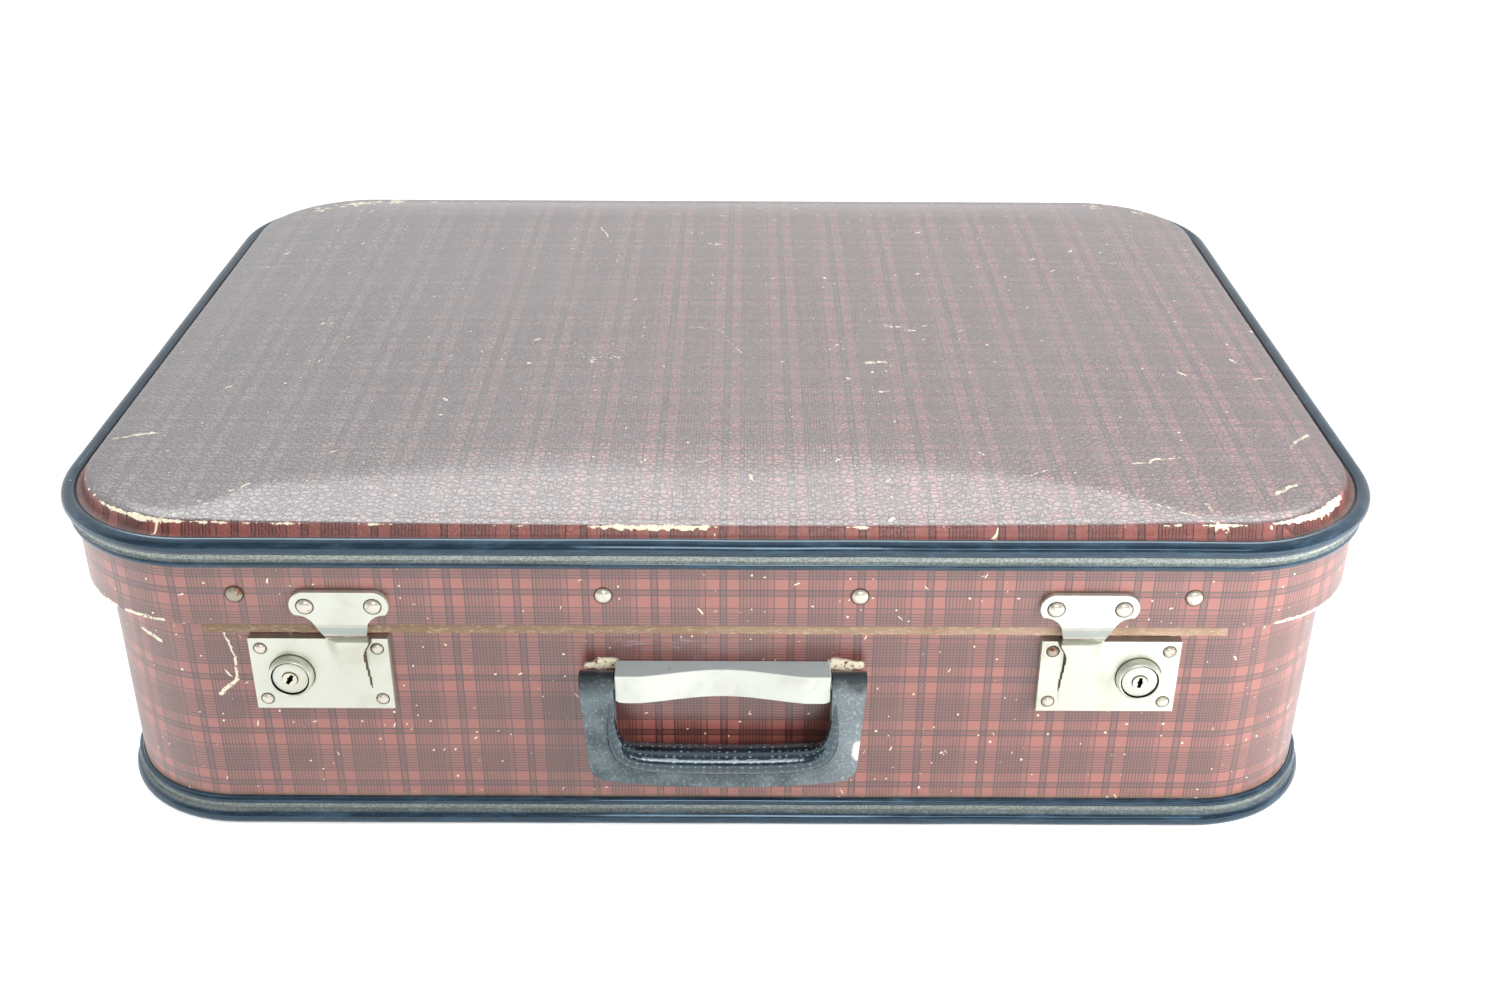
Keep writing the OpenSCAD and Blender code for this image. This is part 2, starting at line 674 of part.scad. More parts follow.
base_band();
bottom_panel();
bottom_piping();
base_lining();
handle_bracket();
handle_backing_plate();
handle_bracket_rivets();
lock_case(-1);  // left_lock_case
lock_case(1);  // right_lock_case
lock_collar(-1);  // left_lock_collar
lock_collar(1);  // right_lock_collar
lock_disc(-1);  // left_lock_disc
lock_disc(1);  // right_lock_disc
lock_backplate(-1);  // left_lock_backplate
lock_backplate(1);  // right_lock_backplate
lock_rivets(-1);  // left_lock_rivets
lock_rivets(1);  // right_lock_rivets
hinge_base_leaf(-1);  // left_hinge_base_leaf
hinge_base_leaf(1);  // right_hinge_base_leaf
hinge_pin(-1);  // left_hinge_pin
hinge_pin(1);  // right_hinge_pin
hinge_base_rivets(-1);  // left_hinge_base_rivets
hinge_base_rivets(1);  // right_hinge_base_rivets
lid_band();
lid_panel();
lid_piping();
lid_lining();
lid_wall_lining();
front_strip();
strip_rivets();
hasp(-1);  // left_hasp
hasp(1);  // right_hasp
hasp_rivets(-1);  // left_hasp_rivets
hasp_rivets(1);  // right_hasp_rivets
hinge_lid_leaf(-1);  // left_hinge_lid_leaf
hinge_lid_leaf(1);  // right_hinge_lid_leaf
hinge_lid_rivets(-1);  // left_hinge_lid_rivets
hinge_lid_rivets(1);  // right_hinge_lid_rivets
handle();
handle_pins();
lock_bolt(-1);  // left_lock_bolt
lock_bolt(1);  // right_lock_bolt
key_plug(-1);  // left_key_plug
key_plug(1);  // right_key_plug
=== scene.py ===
# %% [markdown]
# # A plaid travelling case
# The case is a fibreboard box covered in printed plaid paper, with a telescoping lid, two key locks,
# a swinging handle and dark vinyl piping round its edges. The CAD frame holds every size and joint.
# This file dresses that frame: each cell makes one piece or one finish, and says why it is made so.

# %% Load the fixed frame
from math import atan2, cos, hypot, pi, radians, sin

import bmesh
import bpy
from bmesh.types import BMEdge, BMFace, BMVert
from mathutils import Matrix, Vector, noise


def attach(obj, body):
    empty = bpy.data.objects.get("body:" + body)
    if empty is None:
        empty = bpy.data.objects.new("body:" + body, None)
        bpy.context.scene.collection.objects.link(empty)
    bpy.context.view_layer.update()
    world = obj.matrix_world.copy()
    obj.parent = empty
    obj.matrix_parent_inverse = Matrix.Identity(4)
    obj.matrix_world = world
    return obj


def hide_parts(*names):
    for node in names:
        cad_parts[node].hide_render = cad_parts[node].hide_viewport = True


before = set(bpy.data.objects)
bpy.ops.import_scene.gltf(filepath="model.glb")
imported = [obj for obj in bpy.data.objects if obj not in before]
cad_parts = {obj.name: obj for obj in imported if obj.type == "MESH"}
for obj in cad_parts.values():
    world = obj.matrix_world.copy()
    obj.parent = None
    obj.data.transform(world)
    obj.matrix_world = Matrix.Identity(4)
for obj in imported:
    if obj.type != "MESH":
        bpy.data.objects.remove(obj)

MM = 0.001   # pieces are drawn in millimetres
ops = bmesh.ops
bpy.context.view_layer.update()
scene = bpy.context.scene

# %% [markdown]
# ## Camera
# The photograph was taken from the front and well above, with a fairly wide lens, so the verticals
# of the case lean together towards the floor. Lens and place were solved from points of known size.

# %% Camera
lens = bpy.data.cameras.new("photo_camera")
lens.lens, lens.sensor_width, lens.sensor_fit = 40.06, 36.0, "HORIZONTAL"
eye = bpy.data.objects.new("photo_camera", lens)
eye.matrix_world = (
    Matrix.Translation((0.0126, -0.7935, 0.4898))
    @ Matrix.Rotation(radians(-0.17), 4, "Z")
    @ Matrix.Rotation(radians(90 - 28.7), 4, "X")
    @ Matrix.Rotation(radians(0.32), 4, "Z")
)
scene.collection.objects.link(eye)
scene.camera = eye
scene.view_settings.view_transform = "Standard"
print("camera at", tuple(round(c, 3) for c in eye.location))

# %% [markdown]
# ## Shader sums in plain Python
# A finish is a small sum over the surface: stripes, wear, grain. Writing such sums as nodes by hand
# is long, so a Wire wraps one socket and turns Python operators into Math nodes, and a Shader makes
# any other node from its type, its settings and its sockets.

# %% Wire and Shader
class Wire:
    """One value in a shader. Sums written on it add Math nodes."""

    def __init__(self, shader, socket):
        self.shader, self.socket = shader, socket

    def math(self, operation, *others, clamp=False):
        sockets = dict(enumerate((self, *others)))
        return self.shader.node("Math", {"operation": operation, "use_clamp": clamp}, sockets)

    def __add__(self, other): return self.math("ADD", other)
    def __sub__(self, other): return self.math("SUBTRACT", other)
    def __mul__(self, other): return self.math("MULTIPLY", other)
    def __truediv__(self, other): return self.math("DIVIDE", other)
    def __rsub__(self, other): return self.shader.node("Math", {"operation": "SUBTRACT"}, {0: other, 1: self})
    def __lt__(self, other): return self.math("LESS_THAN", other)
    def __gt__(self, other): return self.math("GREATER_THAN", other)
    def __abs__(self): return self.math("ABSOLUTE")
    def most(self, other): return self.math("MAXIMUM", other)
    __radd__, __rmul__ = __add__, __mul__


class Shader:
    """The node tree of one finish."""

    def __init__(self, owner):
        owner.use_nodes = True
        self.tree = owner.node_tree
        self.tree.nodes.clear()

    def node(self, kind, settings=None, sockets=None, out=0):
        made = self.tree.nodes.new("ShaderNode" + kind)
        for name, value in (settings or {}).items():
            if name == "stops":
                ramp = made.color_ramp
                ramp.interpolation = "CONSTANT"
                while len(ramp.elements) < len(value):
                    ramp.elements.new(1.0)
                for element, (place, colour) in zip(ramp.elements, value):
                    element.position, element.color = place, colour
            else:
                setattr(made, name, value)
        for name, value in (sockets or {}).items():
            if isinstance(value, Wire):
                self.tree.links.new(value.socket, made.inputs[name])
            else:
                made.inputs[name].default_value = value
        if isinstance(out, tuple):
            return [Wire(self, made.outputs[name]) for name in out]
        return Wire(self, made.outputs[out]) if len(made.outputs) else None


def paint(red, green, blue):
    """A colour as a paint chart gives it, 0 to 255, turned into the linear values that nodes use."""
    def linear(c):
        c /= 255
        return c / 12.92 if c <= 0.04045 else ((c + 0.055) / 1.055) ** 2.4
    return (linear(red), linear(green), linear(blue), 1.0)


# %% [markdown]
# ## Shared parts of a finish
# Nearly every finish here needs the same few things: a place on the surface, a soft noise, a smooth
# step from one value to another, a mix of two colours, a bump, and worn specks.

# %% Shared parts of a finish
def object_place(sh):
    return sh.node("TexCoord", out="Object")


def xyz(sh, place):
    return sh.node("SeparateXYZ", {}, {0: place}, out=(0, 1, 2))


def turned(sh, place, scale=(1, 1, 1), angle=(0, 0, 0)):
    return sh.node("Mapping", {}, {"Vector": place, "Rotation": angle, "Scale": scale})


def soft_noise(sh, place, scale, detail=3.0, rough=0.55):
    return sh.node("TexNoise", {}, {"Vector": place, "Scale": scale, "Detail": detail, "Roughness": rough})


def ease(sh, value, low, high):
    return sh.node("MapRange", {"interpolation_type": "SMOOTHSTEP"},
                   {"Value": value, "From Min": low, "From Max": high})


def mixed(sh, share, first, second):
    return sh.node("Mix", {"data_type": "RGBA"}, {0: share, 6: first, 7: second}, out=2)


def specks(sh, place, scale, size, share, flat=True):
    """Small flecks scattered in cells; share is how many cells have one."""
    cells = {"voronoi_dimensions": "2D" if flat else "3D"}
    apart, chance = sh.node("TexVoronoi", cells, {"Vector": place, "Scale": scale}, out=("Distance", "Color"))
    lot, spread, _ = sh.node("SeparateColor", {}, {0: chance}, out=(0, 1, 2))
    return ease(sh, apart - spread * size, 0.02, 0.0) * (lot < share)


def scratch(sh, place, start, end, width):
    """One straight scratch from start to end: 1 on its line, 0 off it."""
    a, b = Vector((*start, 0)[:3]), Vector((*end, 0)[:3])
    way = b - a
    off = sh.node("VectorMath", {"operation": "SUBTRACT"}, {0: place, 1: a})
    along = sh.node("VectorMath", {"operation": "DOT_PRODUCT"}, {0: off, 1: way}, out="Value")
    along = along.math("DIVIDE", way.length_squared, clamp=True)
    foot = sh.node("VectorMath", {"operation": "SCALE"}, {0: way, "Scale": along})
    gap = sh.node("VectorMath", {"operation": "DISTANCE"}, {0: off, 1: foot}, out="Value")
    return ease(sh, gap, width, width * 0.5)


def hairs(sh, place, worn, rows):
    """Adds specks drawn out into hairs; each row is scale, size, share, squeeze along and lean."""
    for scale, size, share, squeeze, lean in rows:
        drawn = turned(sh, turned(sh, place, angle=(0, 0, lean)), (1, squeeze, 1))
        worn = worn.most(specks(sh, drawn, scale, size, share))
    return worn


def scratches(sh, place, worn, marks, left):
    """Adds scratches, broken off where left is 0; each mark is two ends and a width, in mm."""
    for x0, y0, x1, y1, width in marks:
        line = scratch(sh, place, (x0 * MM, y0 * MM), (x1 * MM, y1 * MM), width * MM)
        worn = worn.most(line * left)
    return worn


def painted(sh, name):
    """A value painted on the vertices of the mesh."""
    return sh.node("Attribute", {"attribute_name": name}, {}, out="Fac")


def wobbled(sh, place, scale, amount):
    """Shifts a place by a little noise, so that what is drawn on it comes out ragged."""
    shift = sh.node("TexNoise", {}, {"Vector": place, "Scale": scale, "Detail": 3.0}, out="Color")
    shift = sh.node("VectorMath", {"operation": "SUBTRACT"}, {0: shift, 1: (0.5, 0.5, 0.5)})
    shift = sh.node("VectorMath", {"operation": "SCALE"}, {0: shift, "Scale": amount})
    return sh.node("VectorMath", {"operation": "ADD"}, {0: place, 1: shift})


def close_finish(sh, colour, rough, bump=None, more=None):
    """Ends a finish; bump is a height, a strength and a distance."""
    sockets = {"Base Color": colour, "Roughness": rough, **(more or {})}
    if bump:
        sockets["Normal"] = sh.node("Bump", {}, dict(zip(("Height", "Strength", "Distance"), bump)))
    surface = sh.node("BsdfPrincipled", {}, sockets)
    sh.node("OutputMaterial", {}, {"Surface": surface})


def new_finish(name):
    made = bpy.data.materials.new(name)
    return made, Shader(made)


# %% [markdown]
# ## The plaid print
# The paper repeats every 28.4 mm: a narrow stripe, a red band, a dark band of eight fine lines, and a
# second red band, each parted from the next by a black line. One colour ramp holds that order, read
# once across and once along the paper. Where dark bands cross, the print is darkest, so the two are
# multiplied.

# %% The plaid print
PLAID = 28.4
PRINT_SIDE = 3.6 * MM   # the stripe next to the middle
FAR = 20 * PLAID * MM   # whole repeats, so that stripe counts stay above zero
STRIPE, LINE, GROUND, FINE = 0.44, 0.98, 0.20, 0.88


def plaid_stops():
    bands = [(0.0, STRIPE), (1.1, LINE), (1.6, 0.0), (7.2, LINE), (7.65, GROUND)]
    for k in range(8):
        bands += [(9.9 + 1.42 * k, FINE), (10.38 + 1.42 * k, GROUND + 0.06)]
    bands += [(21.25, LINE), (21.75, 0.0), (26.8, LINE), (27.3, STRIPE)]
    return [(place / PLAID, (dark, dark, dark, 1.0)) for place, dark in bands]


def print_dark(sh, across, along, weights=(1.0, 1.0)):
    """How dark the print is where the two stripe counts, in metres, cross."""
    shares = []
    for way, weight in zip((across, along), weights):
        turn = (way * (1000.0 / PLAID)).math("FRACT")
        ramp = sh.node("ValToRGB", {"stops": plaid_stops()}, {0: turn})
        shares.append(1 - ramp * weight)
    return 1 - shares[0] * shares[1]


print("stops in the plaid ramp:", len(plaid_stops()))

# %% [markdown]
# ## Wall paper
# The side walls are wrapped in one length of paper, so the print follows a map that runs round the
# wall and up it. The paper is varnished: it shines at a glancing angle. Age has flecked it with small
# cream nicks where the white core of the paper shows.

# %% Wall paper
RED, DARK, CREAM = paint(148, 80, 69), paint(40, 15, 16), paint(236, 226, 200)


def wall_paper(name, low, nicks):
    made, sh = new_finish(name)
    place = sh.node("UVMap", {"uv_map": "wall_paper"})
    across, up, _ = xyz(sh, place)
    dark = print_dark(sh, (PRINT_SIDE + FAR) - across, (low + FAR) - up)
    cloud = soft_noise(sh, place, 14.0, 1.5)
    aged = mixed(sh, ease(sh, cloud, 0.45, 0.75) * 0.2, mixed(sh, dark, RED, DARK), paint(124, 92, 80))
    ragged = soft_noise(sh, place, 620.0, 3.0, 0.7)
    dust = ease(sh, up - ragged * 0.003, 0.0150, 0.0122)
    dust = dust.most(ease(sh, up + ragged * 0.003, 0.1385, 0.1405))
    aged = mixed(sh, dust * 0.55, aged, paint(146, 134, 112))
    loose = wobbled(sh, place, 300.0, 0.0022)
    worn = hairs(sh, loose, specks(sh, loose, 200.0, 0.10, 0.13), [
        (200.0, 0.06, 0.06, 0.2, 0.4), (180.0, 0.06, 0.05, 0.15, -0.6), (210.0, 0.06, 0.04, 0.3, 1.2)])
    worn = scratches(sh, loose, worn * (ragged > 0.38), nicks, ragged > 0.42)
    streaks = soft_noise(sh, turned(sh, place, (0.25, 1, 1), (0, 0, 0.3)), 420.0, 3.0)
    smear = scratch(sh, loose, (-0.040, 0.1000), (-0.008, 0.0915), 0.007) * ease(sh, streaks, 0.5, 0.7)
    colour = mixed(sh, worn, mixed(sh, smear * 0.3, aged, paint(176, 160, 172)), CREAM)
    shine = 0.30 + ease(sh, cloud, 0.3, 0.8) * 0.10 + worn * 0.5
    height = soft_noise(sh, place, 420.0, 3.0) * 0.6 - worn * 0.8
    close_finish(sh, colour, shine, (height, 0.16, 0.0004),
                 {"IOR": 2.05, "Sheen Weight": 0.25, "Sheen Roughness": 0.5})
    return made


base_paper = wall_paper("base_wall_paper", 0.1061, [
    (-208, 100.5, -205, 88, 0.6), (-205, 88, -205.5, 76.5, 0.8), (-205.5, 76.5, -214, 69, 1.2),
    (-248, 96, -238, 93, 1.1), (-44, 85.6, -49.5, 85, 3.6), (-51, 84.5, -55, 84.3, 1.8),
    (50.5, 85.8, 57, 84.8, 3.6), (57, 84.8, 62, 84.8, 2.4)])
lid_paper = wall_paper("lid_wall_paper", 0.1260, [
    (-290, 110.5, -256, 110.5, 1.4), (-250, 110.5, -230, 110.3, 1.1), (235, 110.3, 290, 110.5, 1.1)])

# %% [markdown]
# ## Panel paper
# The lid's top carries the same print, pressed with a pebble grain and dulled by age. Its crease is
# rubbed through to cream. A painted attribute says where rubbing is likely, and a fine noise breaks
# that into ragged chips, which looks more like torn paper than a soft smudge does.

# %% Panel paper
panel_paper, sh = new_finish("panel_paper")
place = object_place(sh)
flat_place = turned(sh, place, (1, 1, 0))
px, py, _ = xyz(sh, place)
dark = print_dark(sh, (PRINT_SIDE + FAR) - px, FAR - py, (1.0, 0.7))
cloud = soft_noise(sh, flat_place, 9.0, 1.5)
reddish = mixed(sh, ease(sh, px, -0.27, 0.05), paint(106, 92, 93), paint(136, 90, 90))
dull = mixed(sh, dark, reddish, paint(36, 36, 40))
turned_down = painted(sh, "turned_down")
dull = mixed(sh, turned_down, dull, mixed(sh, dark, paint(136, 70, 60), DARK))
aged = mixed(sh, ease(sh, cloud, 0.3, 0.8) * 0.3, dull, paint(96, 84, 84))
ragged = soft_noise(sh, place, 260.0, 4.0, 0.65)
loose = wobbled(sh, flat_place, 160.0, 0.007)
worn = hairs(sh, loose, specks(sh, loose, 150.0, 0.09, 0.10), [
    (110.0, 0.08, 0.05, 0.35, 0.7), (90.0, 0.05, 0.05, 0.22, -0.5), (70.0, 0.035, 0.04, 0.15, 1.3)])
worn = worn * (soft_noise(sh, flat_place, 620.0, 3.0, 0.7) > 0.42)
worn = scratches(sh, loose, worn, [
    (83.3, -3.7, 96.4, -11.4, 1.3), (71.8, -50.1, 81.5, -50, 1.7), (-16, -8.7, -0.7, -11.2, 0.7),
    (-0.7, -11.2, 9.5, -38.7, 0.6), (-9, 113.5, -2, 112.5, 1.3), (-73.4, 140.9, -66.3, 123.9, 0.9),
    (178.6, -152.8, 201.9, -145, 0.8), (131.6, -163.4, 145.5, -156.8, 0.9),
    (252.8, -134.8, 265.8, -120.7, 1.1), (234.3, -177.8, 245.6, -170.6, 1.3),
    (-203, -178.5, -196.5, -173.5, 1), (-268, -130, -250, -125, 1.3), (-231.3, -205, -209, -188.5, 0.9),
    (208.3, -204, 177.5, -183.4, 0.8), (177.5, -183.4, 155.6, -171.2, 0.5)], ragged > 0.45)
worn = worn.most(ease(sh, painted(sh, "rubbed") - ragged, 0.0, 0.03))
colour = mixed(sh, worn, aged, CREAM)
pebbles = wobbled(sh, place, 500.0, 0.0012)
edge = sh.node("TexVoronoi", {"feature": "DISTANCE_TO_EDGE"}, {"Vector": pebbles, "Scale": 340.0})
grain = ease(sh, edge, 0.0, 0.16)
on_top = 1 - turned_down
colour = mixed(sh, (1 - grain) * on_top * 0.55, colour, paint(26, 24, 28))
height = grain * (0.25 + on_top * 0.75) + soft_noise(sh, place, 900.0, 2.0) * 0.3 - worn * 1.2
shine = 0.24 + ease(sh, cloud, 0.3, 0.8) * 0.06 + worn * 0.5 + (1 - on_top) * 0.12
close_finish(sh, colour, shine, (height, 0.5, 0.0005), {
    "IOR": 1.75, "Coat Weight": on_top * 0.5, "Coat Roughness": 0.15, "Coat IOR": 1.8,
    "Sheen Weight": 0.05, "Sheen Roughness": 0.5})

# %% [markdown]
# ## Metal, vinyl, plastic and card
# The fittings are nickel-plated sheet, gone creamy, with rust in the corners. The piping is glossy
# blue-black vinyl, dusty in its groove. The handle is grained plastic, matt on its frame and polished on
# its roll by hands. The strip and the cut edges are raw card.

# %% Metal finishes
def plated(name, colour, rough, rust, spots, metal=0.85, band=None, dull_and_shaded_top=0.0):
    """Plated sheet: fine brush marks, cloudy tarnish, and rust spots on a share of its places."""
    made, sh = new_finish(name)
    place = object_place(sh)
    cloud = soft_noise(sh, place, 60.0, 4.0)
    brush = soft_noise(sh, turned(sh, place, (1, 1, 14)), 500.0, 2.0)
    tarnish = ease(sh, cloud, 0.45, 0.8)
    rusty = ease(sh, soft_noise(sh, place, spots, 5.0, 0.7), 1.0 - rust, 1.04 - rust)
    if band:
        _, _, high = xyz(sh, place)
        near = ease(sh, abs(high - band), 0.0012, 0.0004)
        rusty = rusty.most(near * ease(sh, cloud, 0.25, 0.5) * 0.8)
        # A bluish-grey band on the hasp's neck, where it bends back, is painted shade.
        neck = ease(sh, abs(high - band - 0.0046), 0.0032, 0.0016)
        colour = mixed(sh, neck * 0.5, colour, paint(160, 172, 180))
    shade = mixed(sh, tarnish * 0.35, colour, paint(176, 166, 140))
    shade = mixed(sh, rusty, shade, paint(112, 66, 34))
    # Faces that look up are made rougher and less metallic, and painted greyer: a painted shade on the top.
    if dull_and_shaded_top:
        _, _, faces_up = xyz(sh, sh.node("NewGeometry", out="Normal"))
        dull = ease(sh, faces_up, 0.75, 0.95) * dull_and_shaded_top
        shade, rusty = mixed(sh, dull, shade, paint(150, 163, 168)), rusty.most(dull)
    close_finish(sh, shade, rough + tarnish * 0.12 + brush * 0.06 + rusty * 0.4,
                 (brush * 0.3 + rusty, 0.15, 0.0002), {"Metallic": metal * (1 - rusty * 0.9)})
    return made


nickel = plated("nickel_plate", paint(216, 219, 206), 0.33, 0.28, 90.0)
rivet_steel = plated("rivet_steel", paint(222, 216, 202), 0.30, 0.40, 260.0)
hinge_steel = plated("hinge_steel", paint(176, 174, 166), 0.34, 0.36, 110.0)
inner_steel = plated("inner_steel", paint(160, 158, 150), 0.42, 0.36, 80.0)
key_brass = plated("key_brass", paint(226, 222, 206), 0.30, 0.28, 200.0)
hasp_nickel = plated("hasp_nickel", paint(216, 219, 208), 0.33, 0.28, 90.0, band=0.1022)
rivet_rusty = plated("rivet_rusty", paint(176, 166, 150), 0.42, 0.42, 240.0)
bracket_nickel = plated("bracket_nickel", paint(218, 222, 214), 0.42, 0.30, 120.0, 0.65, dull_and_shaded_top=0.75)

# Near-black painted shade for the walls of grooves, gaps and the keyway, where shade falls.
painted_gap_shade, sh = new_finish("painted_gap_shade")
close_finish(sh, paint(8, 8, 9), 0.9)
# Brownish-grey painted shade for the ring round each rivet head, the lock's wavy step and the foot of the
# keyhole boss.
painted_shade, sh = new_finish("painted_shade")
close_finish(sh, paint(74, 64, 50), 0.8)

# %% Vinyl piping finish
piping_vinyl, sh = new_finish("piping_vinyl")
place = object_place(sh)
_, _, high = xyz(sh, place)
groove = ease(sh, abs(high - 0.1433), 0.0028, 0.0012)
groove = groove.most(ease(sh, abs(high - 0.0088), 0.0022, 0.0008) * 0.7)
scuff = soft_noise(sh, turned(sh, place, (1, 1, 6)), 70.0, 5.0, 0.65)
chips = specks(sh, place, 90.0, 0.10, 0.12, flat=False)
dirt = ease(sh, soft_noise(sh, place, 900.0, 3.0, 0.7), 0.42, 0.62)
shade = mixed(sh, ease(sh, scuff, 0.4, 0.8) * 0.6, paint(22, 37, 50), paint(62, 86, 104))
shade = mixed(sh, groove * (0.45 + dirt * 0.5), shade, paint(172, 176, 166))
shade = mixed(sh, chips, shade, paint(206, 204, 188))
shine = 0.07 + ease(sh, scuff, 0.5, 0.8) * 0.14 + groove * 0.4
close_finish(sh, shade, shine, (scuff * 0.15 + dirt * groove, 0.08, 0.0004), {
    "IOR": 1.75, "Specular Tint": (0.6, 0.82, 1.0, 1.0), "Sheen Weight": 0.15, "Sheen Roughness": 0.25})

# %% Handle finishes
handle_matt, sh = new_finish("handle_matt_plastic")
place = object_place(sh)
pebble = sh.node("TexVoronoi", {"feature": "SMOOTH_F1"}, {"Vector": place, "Scale": 620.0, "Smoothness": 0.5})
cloud = soft_noise(sh, place, 60.0, 4.0)
dusty = ease(sh, soft_noise(sh, place, 700.0, 2.0), 0.5, 0.75)
shade = mixed(sh, ease(sh, cloud, 0.35, 0.7), paint(64, 77, 80), paint(100, 114, 118))
right, _, high = xyz(sh, place)
worn_top = ease(sh, high + cloud * 0.02, 0.0890, 0.0965)
# Dust makes the frame paler in patches; towards the right leg it is painted paler still, a painted light
# falling from the right.
dust_and_painted_light = (dusty * 0.4).most(ease(sh, right, 0.030, 0.062) * (0.3 + dusty * 0.6))
shade = mixed(sh, dust_and_painted_light, shade, paint(160, 168, 172))
shade = mixed(sh, worn_top * 0.85, shade, paint(14, 22, 28))
loose = wobbled(sh, place, 300.0, 0.003)
chip = scratch(sh, loose, (0.0620, -0.2155, 0.0535), (0.0612, -0.2155, 0.0478), 0.0032)
shade = mixed(sh, chip, shade, paint(214, 216, 208))
close_finish(sh, shade, 0.5 + cloud * 0.2 - worn_top * 0.3, (pebble, 0.4, 0.0005))

handle_gloss, sh = new_finish("handle_polished_plastic")
place = object_place(sh)
roll_place = sh.node("CombineXYZ", {}, {0: painted(sh, "along") * 300.0, 1: painted(sh, "around") * 440.0})
dimples = sh.node("TexVoronoi", {"feature": "SMOOTH_F1"},
                  {"Vector": roll_place, "Scale": 1.0, "Smoothness": 0.3, "Randomness": 0.22})
cloud = soft_noise(sh, place, 80.0, 4.0)
shade = mixed(sh, ease(sh, cloud, 0.4, 0.75), paint(10, 20, 27), paint(24, 40, 50))
# Pale dots painted at the dimple centres are painted highlights, glints of light on the polished roll.
shade = mixed(sh, ease(sh, dimples, 0.26, 0.10) * 0.65, shade, paint(120, 148, 160))
close_finish(sh, shade, 0.10 + ease(sh, cloud, 0.3, 0.8) * 0.06, (1 - dimples, 0.15, 0.0008), {
    "IOR": 1.85, "Specular Tint": (0.7, 0.88, 1.0, 1.0),
    "Coat Weight": 0.6, "Coat Roughness": 0.1, "Coat IOR": 1.5})

# %% Card and lining finishes
raw_card, sh = new_finish("raw_card")
place = object_place(sh)
cx, _, _ = xyz(sh, place)
fibre = soft_noise(sh, turned(sh, place, (0.35, 1, 1)), 1100.0, 4.0, 0.7)
cloud = soft_noise(sh, place, 40.0, 3.0)
# The card is painted paler towards the right: painted light falling from the right.
shade = mixed(sh, ease(sh, cx, -0.2, 0.22), paint(132, 110, 88), paint(172, 146, 126))
shade = mixed(sh, ease(sh, cloud, 0.4, 0.7) * 0.5, shade, paint(134, 108, 82))
shade = mixed(sh, ease(sh, fibre, 0.5, 0.72) * 0.6, shade, paint(204, 188, 158))
close_finish(sh, shade, 0.85, (fibre, 0.6, 0.0008))

lining_paper, sh = new_finish("lining_paper")
place = object_place(sh)
lx, ly, lz = xyz(sh, place)
rows = (lx * 420.0 + lz * 420.0).math("FRACT") > 0.82
cols = (ly * 420.0 - lz * 420.0).math("FRACT") > 0.82
cloud = soft_noise(sh, place, 12.0, 5.0)
stain = ease(sh, soft_noise(sh, place, 30.0, 5.0, 0.7), 0.6, 0.72)
shade = mixed(sh, rows.most(cols) * 0.35, paint(212, 196, 160), paint(168, 146, 108))
shade = mixed(sh, ease(sh, cloud, 0.4, 0.75) * 0.4, shade, paint(188, 164, 120))
shade = mixed(sh, stain * 0.35, shade, paint(142, 108, 66))
close_finish(sh, shade, 0.8 - stain * 0.1, (soft_noise(sh, place, 1200.0, 2.0), 0.3, 0.0003))
print("finishes:", len(bpy.data.materials))

# %% [markdown]
# ## Making a piece
# Pieces are drawn in millimetres, as the CAD source is, and shrunk to metres at the end. Each piece
# then rides on a body of the frame, names the slot of its finish, and hides the CAD nodes it stands for.

# %% Making a piece
def make_piece(name, bm, body, finishes, stands_for=(), smooth=35):
    ops.scale(bm, vec=(MM, MM, MM), verts=bm.verts)
    mesh = bpy.data.meshes.new(name)
    bm.to_mesh(mesh)
    bm.free()
    mesh.polygons.foreach_set("use_smooth", [True] * len(mesh.polygons))
    mesh.set_sharp_from_angle(angle=radians(smooth))
    for finish in finishes:
        mesh.materials.append(finish)
    piece = bpy.data.objects.new(name, mesh)
    scene.collection.objects.link(piece)
    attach(piece, body)
    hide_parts(*stands_for)
    print(name, "has", len(mesh.polygons), "faces")
    return piece


def round_edges(piece, width, segments=3, angle=40):
    soften = piece.modifiers.new("soft_edges", "BEVEL")
    soften.width, soften.segments, soften.limit_method = width * MM, segments, "ANGLE"
    soften.angle_limit = radians(angle)
    soften.harden_normals = True


def thicken(piece, thickness, rim=0):
    sheet = piece.modifiers.new("board", "SOLIDIFY")
    sheet.thickness, sheet.offset, sheet.use_even_offset = thickness * MM, -1.0, True
    sheet.material_offset_rim = rim


def only(made, kind):
    """The vertices, edges or faces among what an operator made."""
    return [part for part in made if isinstance(part, kind)]


def grow(bm, ring):
    """Extrudes a ring of edges once, and gives back the new ring and its vertices."""
    made = ops.extrude_edge_only(bm, edges=ring)["geom"]
    verts = only(made, BMVert)
    fresh = set(verts)
    return [e for e in only(made, BMEdge) if fresh.issuperset(e.verts)], verts


def shift(bm, verts, *by):
    ops.translate(bm, vec=by, verts=verts)


def put(bm, verts, place):
    ops.transform(bm, matrix=place, verts=verts)


def bevel(bm, geom, offset, segments, affect):
    ops.bevel(bm, geom=geom, offset=offset, segments=segments, profile=0.5, affect=affect, material=-1)


def face_outwards(bm):
    ops.recalc_face_normals(bm, faces=bm.faces)


# %% [markdown]
# ## Rounded rectangles
# Walls, piping and panel all follow a rounded rectangle. A grid of one face, with its corners
# bevelled, gives true arcs. The way round it is then measured, so paper can be wrapped on it.

# %% Rounded rectangles
LID = (558.0, 418.0, 64.0)
BASE = (542.0, 402.0, 56.0)


